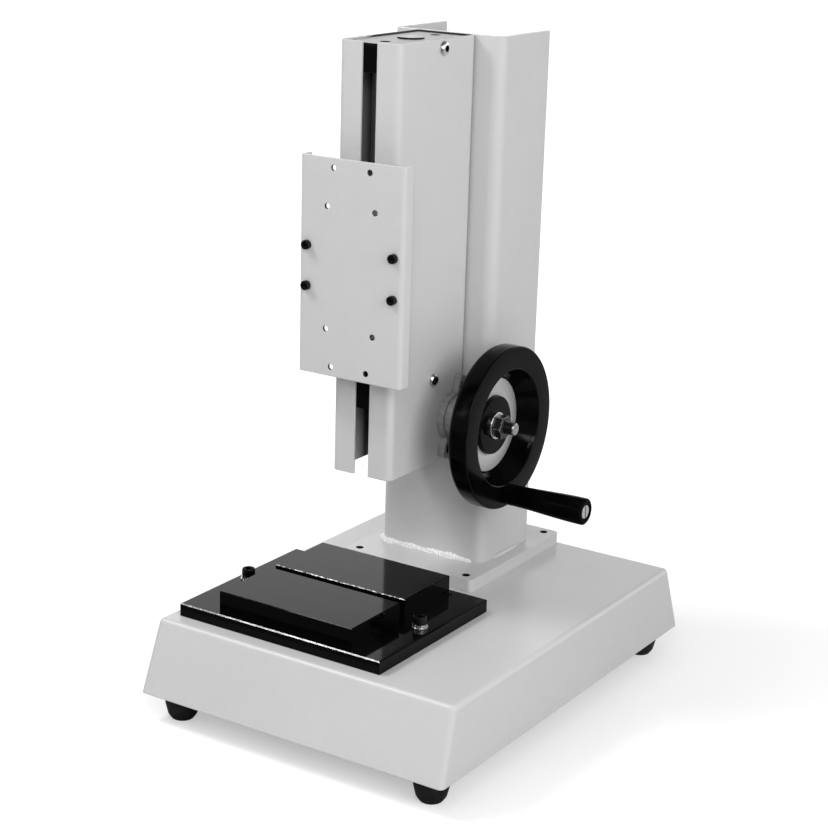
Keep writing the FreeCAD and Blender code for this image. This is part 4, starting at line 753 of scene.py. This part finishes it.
class STAND_OT_feet(bpy.types.Operator):
    """Turns the four domed rubber feet"""
    bl_idname = "stand.feet"
    bl_label = "Rubber feet"

    def execute(self, context):
        colours = context.scene.stand_colours
        rubber = finish("moulded_nitrile_rubber", foot_rubber, colours.rubber)
        for corner in ("front_left", "front_right", "rear_left", "rear_right"):
            node = "rubber_foot_" + corner
            low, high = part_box(node)
            centre = middle(node)
            centre[2] = low.z
            tall = high.z - low.z
            radius = 13.0 * MM
            profile = [(tall * 0.4, 0, 0), (tall * 0.4, 4.8 * MM, 0), (0, 4.8 * MM, 0.3 * MM),
                       (0, radius * 0.62, 1.5 * MM), (tall * 0.18, radius * 0.84, 5 * MM),
                       (tall * 0.55, radius * 0.995, 5 * MM), (tall - 0.6 * MM, radius, 0),
                       (tall, radius - 0.6 * MM, 0), (tall, 0, 0)]
            make_piece("domed_" + node, [lathe(profile, (0, 0, 1), centre, 72)], rubber, "stand", (node,),
                       sharp=50)
        return {"FINISHED"}


class STAND_OT_cap_screws(bpy.types.Operator):
    """Makes the blackened socket head screws with knurled heads"""
    bl_idname = "stand.cap_screws"
    bl_label = "Socket head screws"

    def execute(self, context):
        colours = context.scene.stand_colours
        oxide = finish("black_oxide_steel", black_oxide, colours.oxide)
        turn = np.linspace(0, TURN, 120, endpoint=False)
        # Node, body, direction of the head, screw size, and the two axes across the group
        kinds = [("gauge_plate_screws", "carriage", (0, -1, 0), CAP_M4, 0, 2),
                 ("bed_screws", "stand", (0, 0, 1), CAP_M6, 0, 1),
                 ("bracket_screws", "carriage", (0, -1, 0), CAP_M5, 0, 2),
                 ("block_mounting_screws", "stand", (0, 1, 0), CAP_M6, 0, 2),
                 ("flange_bearing_bolts", "stand", (1, 0, 0), CAP_M6, 1, 2)]
        for node, body, axis, screw, first, second in kinds:
            head, height, socket, shank = screw
            low, high = (np.array(corner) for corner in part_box(node))
            way = np.array(axis, float)
            top = (high if way.sum() > 0 else low)[np.abs(way).argmax()]
            reach = (high - low)[np.abs(way).argmax()] / MM - height
            rows = socket_screw(head * MM, height * MM, socket * MM, shank * MM, reach * MM, turn)
            places = pattern(node, head * MM, first, second)
            if node == "flange_bearing_bolts":  # Its two bolts stand at opposite corners of their box
                places = [places[0], places[3]]
            grids = []
            for place in places:
                place[np.abs(way).argmax()] = top - way.sum() * height * MM
                grids.append(rows_surface(rows, axis, place, turn))
            # A group of two screws in a row gives each place twice, so like places are kept once
            unique = {tuple(np.round(grid[0, 0], 6)): grid for grid in grids}
            make_piece("knurled_" + node, list(unique.values()), oxide, body, (node,), sharp=28)
        return {"FINISHED"}


class STAND_OT_button_screws(bpy.types.Operator):
    """Makes the bright domed screws in the sides of the housing"""
    bl_idname = "stand.button_screws"
    bl_label = "Button head screws"

    def execute(self, context):
        colours = context.scene.stand_colours
        bright = finish("bright_zinc_plate", plated, colours.zinc)
        # Black oxide in the plated screw's socket: painted shade
        dark = finish("black_oxide_steel", black_oxide, colours.oxide)
        turn = np.linspace(0, TURN, 96, endpoint=False)
        head, tall, socket, shank = (size * MM for size in BUTTON_SCREW)
        rows = button_screw(head, tall, socket, shank, 10 * MM, turn)
        low, high = (np.array(corner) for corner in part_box("housing_screws"))
        grids = []
        for z in (low[2] + head, high[2] - head):
            for side, x in ((1, high[0] - tall), (-1, low[0] + tall)):
                grids.append(rows_surface(rows, (side, 0, 0), (x, (low[1] + high[1]) / 2, z), turn))
        make_piece("domed_housing_screws", grids, bright, "stand", ("housing_screws",), sharp=32,
                   inside=dark, inside_row=len(rows) - 4)
        return {"FINISHED"}


class STAND_OT_washers(bpy.types.Operator):
    """Makes the flat washers and the split spring washers under the bed screws"""
    bl_idname = "stand.washers"
    bl_label = "Bed washers"

    def execute(self, context):
        colours = context.scene.stand_colours
        bright = finish("bright_zinc_plate", plated, colours.zinc)
        for node, maker in (("bed_washers", self.flat), ("bed_spring_washers", self.split)):
            low, high = (np.array(corner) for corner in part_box(node))
            outer = (high[1] - low[1]) / 2
            thick = high[2] - low[2]
            grids = [maker((x, (low[1] + high[1]) / 2, low[2]), outer, thick)
                     for x in (low[0] + outer, high[0] - outer)]
            make_piece("bright_" + node, grids, bright, "stand", (node,))
        return {"FINISHED"}

    def flat(self, centre, outer, thick):
        """A flat ring whose rectangular profile has rounded outer corners; the profile ends where it starts."""
        edge = 0.25 * MM
        inner = 3.3 * MM
        return lathe([(0, inner, 0), (0, outer, edge), (thick, outer, edge), (thick, inner, 0), (0, inner, 0)],
                     (0, 0, 1), centre, 64, 4)

    def split(self, centre, outer, thick):
        """A square section carried round 345 degrees of a shallow helix, closed at both cut ends."""
        turn = np.linspace(0.13, TURN - 0.13, 60)
        wide = outer - 3.3 * MM
        tall = thick * 0.86
        radial = np.array([0, 1, 1, 0]) * wide + 3.3 * MM
        upward = np.array([0, 0, 1, 1]) * tall
        lift = (thick - tall) * (turn / TURN)
        x = centre[0] + radial[None] * np.cos(turn)[:, None]
        y = centre[1] + radial[None] * np.sin(turn)[:, None]
        z = centre[2] + upward[None] + lift[:, None]
        ring = np.stack([x, y, z], -1)
        ends = [np.repeat(ring[i].mean(0, keepdims=True), 4, axis=0)[None] for i in (0, -1)]
        return np.concatenate([ends[0], ring, ends[1]])


class STAND_OT_handwheel(bpy.types.Operator):
    """Makes the moulded hand wheel and the ring laid on its web"""
    bl_idname = "stand.handwheel"
    bl_label = "Hand wheel"

    def execute(self, context):
        sizes, colours = context.scene.stand_sizes, context.scene.stand_colours
        low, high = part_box("handwheel")
        centre = middle("handwheel")
        centre[0] = 0
        face, back, radius = high.x, low.x, (high.z - low.z) / 2
        rim_back = face - sizes.rim_width
        web = face - sizes.dish_depth
        web_back = web - sizes.web_thickness
        disc = face - sizes.disc_depth
        bore = sizes.shaft_radius + 0.02 * MM
        profile = [(disc, bore, 0), (disc, sizes.disc_radius, 0.6 * MM), (web, sizes.disc_radius, 0.3 * MM),
                   (web, sizes.dish_radius, 1.0 * MM), (face - sizes.rim_step, sizes.rim_inner - 1.6 * MM, 0.8 * MM),
                   (face, sizes.rim_inner, sizes.rim_edge),
                   (face, radius, sizes.rim_edge), (rim_back, radius, sizes.rim_back),
                   (rim_back, sizes.rim_inner + 1 * MM, 1.5 * MM), (web_back, sizes.dish_radius - 2 * MM, 3 * MM),
                   (web_back, sizes.wheel_hub + 4 * MM, 3 * MM), (web_back - 3 * MM, sizes.wheel_hub + 1 * MM, 2 * MM),
                   (back, sizes.wheel_hub, 0.6 * MM), (back, bore, 0), (disc, bore, 0)]
        gloss = finish("moulded_black_phenolic", moulded_black, colours.phenolic, tuple(centre))
        make_piece("moulded_handwheel", [lathe(profile, (1, 0, 0), centre, 192, 8)], gloss, "hand_wheel_train",
                   ("handwheel",), sharp=40)
        ring_low, ring_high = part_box("wheel_ring")
        ring_profile = [(ring_low.x, sizes.disc_radius + 0.25 * MM, 0), (ring_low.x, sizes.dish_radius - 0.3 * MM, 0),
                        (ring_high.x, sizes.dish_radius - 0.3 * MM, 0.25 * MM),
                        (ring_high.x, sizes.disc_radius + 0.25 * MM, 0.25 * MM),
                        (ring_low.x, sizes.disc_radius + 0.25 * MM, 0)]
        satin = finish("satin_turned_aluminium", turned, colours.ring, (1, 0, 0), tuple(centre), 0.55, 0.5, 0.08)
        make_piece("satin_wheel_ring", [lathe(ring_profile, (1, 0, 0), centre, 144, 4)], satin, "hand_wheel_train",
                   ("wheel_ring",))
        return {"FINISHED"}


class STAND_OT_wheel_fastening(bpy.types.Operator):
    """Makes the washer, the hexagon nut and the threaded end of the drive shaft"""
    bl_idname = "stand.wheel_fastening"
    bl_label = "Shaft end, nut and washer"

    def execute(self, context):
        sizes, colours = context.scene.stand_sizes, context.scene.stand_colours
        centre = middle("drive_shaft")
        centre[0] = 0
        centre[2] = middle("wheel_washer")[2]
        bright = finish("bright_zinc_plate", plated, colours.zinc)
        # The nut's edges are 60 times brighter: a painted highlight
        blued = finish("blued_nut_steel", black_oxide, colours.blued, 0.35, 60.0, 0.55)
        steel = finish("turned_shaft_steel", turned, colours.steel, (1, 0, 0), tuple(centre), 0.2, 0.4, 0.10)
        washer_low, washer_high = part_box("wheel_washer")
        outer = (washer_high.y - washer_low.y) / 2
        hole = sizes.stud_radius + 0.2 * MM
        profile = [(washer_low.x, hole, 0), (washer_low.x, outer, 0), (washer_high.x, outer, 0.5 * MM),
                   (washer_high.x, hole, 0.2 * MM), (washer_low.x, hole, 0)]
        make_piece("plated_wheel_washer", [lathe(profile, (1, 0, 0), centre, 96, 4)], bright, "hand_wheel_train",
                   ("wheel_washer",))
        nut_low, nut_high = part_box("wheel_nut")
        make_piece("chamfered_wheel_nut", [self.nut(nut_low.x, nut_high.x, nut_high.z - nut_low.z, sizes, centre)],
                   blued, "hand_wheel_train", ("wheel_nut",), sharp=22)
        low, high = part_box("drive_shaft")
        shoulder = washer_low.x - 0.5 * MM
        edge = 0.8 * MM
        rod = lathe([(low.x, 0, 0), (low.x, sizes.shaft_radius, edge), (shoulder, sizes.shaft_radius, 0.3 * MM),
                     (shoulder, 0, 0)], (1, 0, 0), centre, 72)
        cut_end = high.x - 1.6 * MM
        stud = thread(shoulder - 0.1 * MM, cut_end, sizes.stud_radius, sizes.stud_pitch, 0.9 * MM, 0.15, (1, 0, 0),
                      centre, 12, 72, 0.0, 0.9 * MM)
        tip = lathe([(cut_end - 0.4 * MM, 0, 0), (cut_end - 0.4 * MM, sizes.stud_radius - 0.9 * MM, 0),
                     (cut_end, sizes.stud_radius - 0.2 * MM, 0.3 * MM),
                     (high.x - 0.7 * MM, sizes.stud_radius - 0.2 * MM, 0.4 * MM),
                     (high.x, 4.3 * MM, 0.5 * MM), (high.x, 1.5 * MM, 0.15 * MM), (high.x - 1.2 * MM, 0.7 * MM, 0),
                     (high.x - 2.0 * MM, 0.7 * MM, 0), (high.x - 2.4 * MM, 0, 0)], (1, 0, 0), centre, 72)
        make_piece("turned_drive_shaft", [rod, tip], steel, "hand_wheel_train", ("drive_shaft",))
        make_piece("oiled_stud_thread", [stud], finish("black_oxide_steel", black_oxide, colours.oxide),
                   "hand_wheel_train")
        return {"FINISHED"}

    def nut(self, start, end, across, sizes, centre):
        """A hexagon nut: the six-sided radius, with both faces dropping at 30 degrees outside the turned circle."""
        turn = np.linspace(0, TURN, 144, endpoint=False)
        flats = hexagon(across, turn)
        circle = across / 2 * 0.975
        drop = np.maximum(flats - circle, 0) * math.tan(math.radians(32))
        bore = sizes.stud_radius + 0.05 * MM
        levels = [(start, bore), (start + 0 * drop, np.minimum(flats, circle)), (start + drop, flats),
                  (end - drop, flats), (end + 0 * drop, np.minimum(flats, circle)), (end, bore + 0.6 * MM),
                  (end - 0.6 * MM, bore), (start, bore)]
        along = np.stack([np.broadcast_to(np.asarray(level[0], float), turn.shape) for level in levels])
        radius = np.stack([np.broadcast_to(np.asarray(level[1], float), turn.shape) for level in levels])
        grid = around((1, 0, 0), centre, np.zeros(len(levels)), radius, turn)
        grid[:, :, 0] += along
        return grid


class STAND_OT_handle(bpy.types.Operator):
    """Makes the waisted handle and its slotted spindle"""
    bl_idname = "stand.handle"
    bl_label = "Handle"

    def execute(self, context):
        sizes, colours = context.scene.stand_sizes, context.scene.stand_colours
        low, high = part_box("handle_grip")
        centre = middle("handle_grip")
        centre[0] = 0
        reach = high.x - low.x
        hole = 4.05 * MM
        recess = 6.0 * MM
        floor = high.x - 4.3 * MM
        share = np.linspace(0, 1, 24)
        swell = sizes.grip_waist + (sizes.grip_end - sizes.grip_waist) * (3 * share ** 2 - 2 * share ** 3)
        root = (sizes.grip_root - sizes.grip_waist) * np.exp(-share * 9)
        curve = [(low.x + reach * (0.02 + 0.93 * s), r, 0) for s, r in zip(share, swell + root)]
        profile = [(low.x, hole, 0), (low.x, sizes.grip_root - 0.5 * MM, 0.3 * MM), *curve,
                   (high.x - 1.0 * MM, sizes.grip_end, 1.4 * MM), (high.x, sizes.grip_end - 1.6 * MM, 0.8 * MM),
                   (high.x, recess, 0.3 * MM), (floor, recess, 0), (floor, hole, 0), (low.x, hole, 0)]
        gloss = finish("moulded_black_grip", moulded_black, colours.phenolic, tuple(centre), 0.012)
        make_piece("waisted_handle_grip", [lathe(profile, (1, 0, 0), centre, 96)], gloss, "handle", ("handle_grip",),
                   sharp=40)
        dress(("handle_spindle",), finish("turned_spindle_steel", turned, colours.zinc, (1, 0, 0), tuple(centre),
                                          0.2, 0.4, 0.08))
        return {"FINISHED"}


class STAND_OT_lead_screw(bpy.types.Operator):
    """Cuts the trapezoid thread of the lead screw"""
    bl_idname = "stand.lead_screw"
    bl_label = "Lead screw"

    def execute(self, context):
        sizes, colours = context.scene.stand_sizes, context.scene.stand_colours
        low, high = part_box("lead_screw")
        centre = middle("lead_screw")
        centre[2] = 0
        radius = (high.x - low.x) / 2
        block_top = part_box("lower_bearing_block")[1].z + 0.5 * MM
        block_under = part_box("top_bearing_block")[0].z + 2 * MM
        lower = lathe([(low.z, 0, 0), (low.z, 6 * MM, 0.6 * MM), (block_top, 6 * MM, 0), (block_top, 0, 0)],
                      (0, 0, 1), centre, 72)
        cut = thread(block_top, block_under, radius, sizes.screw_lead, sizes.screw_depth, 0.37, (0, 0, 1), centre, 12,
                     64, 0.0, 2 * MM)
        upper = lathe([(block_under, 0, 0), (block_under, 5 * MM, 0), (high.z, 5 * MM, 0.6 * MM), (high.z, 0, 0)],
                      (0, 0, 1), centre, 72)
        steel = finish("turned_screw_steel", turned, colours.steel, (0, 0, 1), tuple(centre), 0.26, 0.6, 0.12)
        make_piece("trapezoid_lead_screw", [lower, cut, upper], steel, "lead_screw_train", ("lead_screw",),
                   sharp=40)
        return {"FINISHED"}


class STAND_OT_steel_parts(bpy.types.Operator):
    """Gives the rods, gears, bearings, collars and the stiffener their turned and ground steel"""
    bl_idname = "stand.steel_parts"
    bl_label = "Steel parts"

    def execute(self, context):
        colours = context.scene.stand_colours
        shaft = middle("drive_shaft")
        screw = middle("lead_screw")
        across = finish("turned_shaft_steel", turned, colours.steel, (1, 0, 0), tuple(shaft), 0.2, 0.4, 0.10)
        upright = finish("turned_screw_steel", turned, colours.steel, (0, 0, 1), tuple(screw), 0.26, 0.6, 0.12)
        dress(("shaft_gear", "shaft_collars", "shaft_key", "flange_bearing_collar", "flange_bearing_insert"), across)
        dress(("screw_gear", "screw_spacer", "screw_lock_nut", "top_ball_bearing", "lower_ball_bearings"), upright)
        dress(("guide_rod_left", "guide_rod_right"), finish("ground_rod_steel", plated, colours.steel, 0.14))
        dress(("base_stiffener",), finish("rolled_steel_plate", dull_plate, colours.steel))
        # The top plate's border carries painted gap shade
        dress(("top_cap_plate",), finish("brushed_zinc_plate", dull_plate, colours.plate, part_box("top_cap_plate")))
        dress(("bearing_cover_disc",), finish("satin_cover_with_blued_rim", cover_disc, colours.steel,
                                              tuple(middle("bearing_cover_disc"))))
        dress(("flange_bearing_housing",), finish("painted_cast_iron", cast_metal, colours.casting))
        dress(("foot_nuts",), finish("bright_zinc_plate", plated, colours.zinc))
        dress(("cap_plate_screws",), finish("dry_black_oxide_steel", black_oxide, tint(colours.oxide, 0.4), 0.0))
        dress(("lead_nut_screws", "anvil_block_screws", "column_bolts", "foot_screws"),
              finish("black_oxide_steel", black_oxide, colours.oxide))
        dress(("lead_nut", "slider_bushes", "shaft_bush"),
              finish("machined_bronze", turned, colours.bronze, (0, 0, 1), tuple(screw), 0.3, 0.5, 0.1))
        return {"FINISHED"}


class STAND_OT_stage(bpy.types.Operator):
    """Sets the floor, the soft studio light and the camera"""
    bl_idname = "stand.stage"
    bl_label = "Stage"

    def execute(self, context):
        stage = context.scene.stand_stage
        scene = context.scene
        scene.view_settings.view_transform = "Standard"
        self.floor()
        self.world(scene, stage)
        self.lamp("top_soft_box", (-0.95, -0.60, 1.62), (0, -0.02, 0.2), 0.5, stage.top_lamp)
        self.lamp("left_soft_box", (-1.10, -1.70, 1.15), (0, 0, 0.3), 0.3, stage.left_lamp)
        self.lamp("right_soft_box", (1.80, -0.70, 1.00), (0, 0, 0.28), 1.2, stage.right_lamp)
        self.lamp("front_soft_box", (0.85, -1.35, 1.05), (0, 0, 0.25), 0.3, stage.front_lamp)
        self.lamp("near_soft_box", (0.35, -0.75, 0.95), (0, 0, 0.35), 0.25, stage.near_lamp)
        data = bpy.data.cameras.new("photo_camera")
        data.sensor_width = 36.0
        data.lens = stage.camera_lens
        data.clip_start = 0.05
        camera = bpy.data.objects.new("photo_camera", data)
        scene.collection.objects.link(camera)
        turn = (Matrix.Rotation(stage.camera_yaw, 4, "Z") @ Matrix.Rotation(math.pi / 2 - stage.camera_pitch, 4, "X")
                @ Matrix.Rotation(stage.camera_roll, 4, "Z"))
        camera.matrix_world = Matrix.Translation(stage.camera_place) @ turn
        scene.camera = camera
        return {"FINISHED"}

    def floor(self):
        """A large level sheet of matt white board under the feet.

        For the camera the board also glows, more with distance, so it keeps the stand's shadow and runs into the
        white surround with no line between them. Reflections see it pale behind the stand and dark in front.
        """
        half = 40.0
        mesh = bpy.data.meshes.new("floor")
        mesh.from_pydata([(-half, -half, 0), (half, -half, 0), (half, half, 0), (-half, half, 0)], [], [(0, 1, 2, 3)])
        board = bpy.data.objects.new("floor", mesh)
        bpy.context.scene.collection.objects.link(board)
        material, tree, shader, place = new_material("matt_white_board", roughness=0.9, specular=0.1)
        path = add(tree, "ShaderNodeLightPath")
        fibre = add(tree, "ShaderNodeMix", {0: clouds(tree, place, 4, 0.0, 1.0), 6: (0.67, 0.67, 0.67, 1),
                                            7: (0.69, 0.69, 0.69, 1)}, data_type="RGBA")
        depth = add(tree, "ShaderNodeSeparateXYZ", {0: place}).outputs["Y"]
        mirror = add(tree, "ShaderNodeMapRange", {"Value": depth, "From Min": -0.5, "From Max": 0.3, "To Min": 0.06,
                                                  "To Max": 0.8}).outputs["Result"]
        mirrored = add(tree, "ShaderNodeMix", {0: path.outputs["Is Glossy Ray"], 6: fibre.outputs[2], 7: mirror},
                       data_type="RGBA")
        tree.links.new(mirrored.outputs[2], shader.inputs["Base Color"])
        distance = add(tree, "ShaderNodeVectorMath", {0: place}, operation="LENGTH").outputs["Value"]
        glow = add(tree, "ShaderNodeMapRange", {"Value": distance, "From Min": 0.15, "From Max": 0.9, "To Min": 0.40,
                                                "To Max": 0.85}).outputs["Result"]
        seen = add(tree, "ShaderNodeMath", {0: path.outputs["Is Camera Ray"], 1: path.outputs["Is Transmission Ray"]},
                   operation="MAXIMUM").outputs[0]
        shown = add(tree, "ShaderNodeMath", {0: glow, 1: seen}, operation="MULTIPLY").outputs[0]
        shader.inputs["Emission Color"].default_value = (1, 1, 1, 1)
        tree.links.new(shown, shader.inputs["Emission Strength"])
        mesh.materials.append(material)

    def world(self, scene, stage):
        """An even sky for the light and a white surround for the camera. Reflections see a bright wall behind the
        stand, a dimmer one in front, and a dark ceiling."""
        world = bpy.data.worlds.new("studio")
        world.use_nodes = True
        tree = world.node_tree
        tree.nodes.clear()
        path = add(tree, "ShaderNodeLightPath")
        mirrored = add(tree, "ShaderNodeMath", {0: path.outputs["Is Glossy Ray"],
                                                1: path.outputs["Is Transmission Ray"]}, operation="MAXIMUM")
        way = add(tree, "ShaderNodeSeparateXYZ", {0: add(tree, "ShaderNodeTexCoord").outputs["Generated"]})
        wall = add(tree, "ShaderNodeMapRange", {"Value": way.outputs["Y"], "From Min": -0.2, "From Max": 0.3,
                                                "To Min": 0.45, "To Max": 1.9}).outputs["Result"]
        height = add(tree, "ShaderNodeMapRange", {"Value": way.outputs["Z"], "From Min": 0.38, "From Max": 0.52,
                                                  "To Min": 1.0, "To Max": 0.08}).outputs["Result"]
        room = add(tree, "ShaderNodeMath", {0: wall, 1: height}, operation="MULTIPLY").outputs[0]
        base = add(tree, "ShaderNodeMix", {0: mirrored.outputs[0], 2: stage.sky, 3: room}, data_type="FLOAT")
        seen = add(tree, "ShaderNodeMix", {0: path.outputs["Is Camera Ray"], 2: base.outputs[0], 3: 1.0},
                   data_type="FLOAT")
        light = add(tree, "ShaderNodeBackground", {"Color": (1, 1, 1, 1), "Strength": seen.outputs[0]})
        add(tree, "ShaderNodeOutputWorld", {"Surface": light.outputs[0]})
        scene.world = world

    def lamp(self, name, place, target, size, power):
        """A square soft box of a size in metres and a power in watts, at a place and turned to a target."""
        data = bpy.data.lights.new(name, "AREA")
        data.shape = "SQUARE"
        data.size = size
        data.energy = power
        lamp = bpy.data.objects.new(name, data)
        bpy.context.scene.collection.objects.link(lamp)
        away = (Vector(place) - Vector(target)).normalized()
        lamp.matrix_world = Matrix.Translation(place) @ away.to_track_quat("Z", "Y").to_matrix().to_4x4()


class STAND_PT_panel(bpy.types.Panel):
    bl_label = "Test stand"
    bl_idname = "STAND_PT_panel"
    bl_space_type = "VIEW_3D"
    bl_region_type = "UI"
    bl_category = "Test stand"

    def draw(self, context):
        for operator in operators:
            self.layout.operator(operator.bl_idname)
        for group in (context.scene.stand_sizes, context.scene.stand_colours, context.scene.stand_stage):
            box = self.layout.box()
            for name in group.__annotations__:
                box.prop(group, name)


groups = (StandSizes, StandColours, StandStage)
operators = (STAND_OT_sheet_metal, STAND_OT_weld_beads, STAND_OT_bed, STAND_OT_blocks, STAND_OT_feet,
             STAND_OT_cap_screws, STAND_OT_button_screws, STAND_OT_washers, STAND_OT_handwheel,
             STAND_OT_wheel_fastening, STAND_OT_handle, STAND_OT_lead_screw, STAND_OT_steel_parts, STAND_OT_stage)


def register():
    """Registers the classes and puts their settings on the scene."""
    for kind in groups + operators + (STAND_PT_panel,):
        bpy.utils.register_class(kind)
    bpy.types.Scene.stand_sizes = bpy.props.PointerProperty(type=StandSizes)
    bpy.types.Scene.stand_colours = bpy.props.PointerProperty(type=StandColours)
    bpy.types.Scene.stand_stage = bpy.props.PointerProperty(type=StandStage)


def unregister():
    """Takes the settings off the scene again and unregisters the classes."""
    del bpy.types.Scene.stand_stage
    del bpy.types.Scene.stand_colours
    del bpy.types.Scene.stand_sizes
    for kind in reversed(groups + operators + (STAND_PT_panel,)):
        bpy.utils.unregister_class(kind)


def main():
    """Makes the pieces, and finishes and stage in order."""
    register()
    for operator in operators:
        family, action = operator.bl_idname.split(".")
        getattr(getattr(bpy.ops, family), action)()


if __name__ == "__main__":
    main()
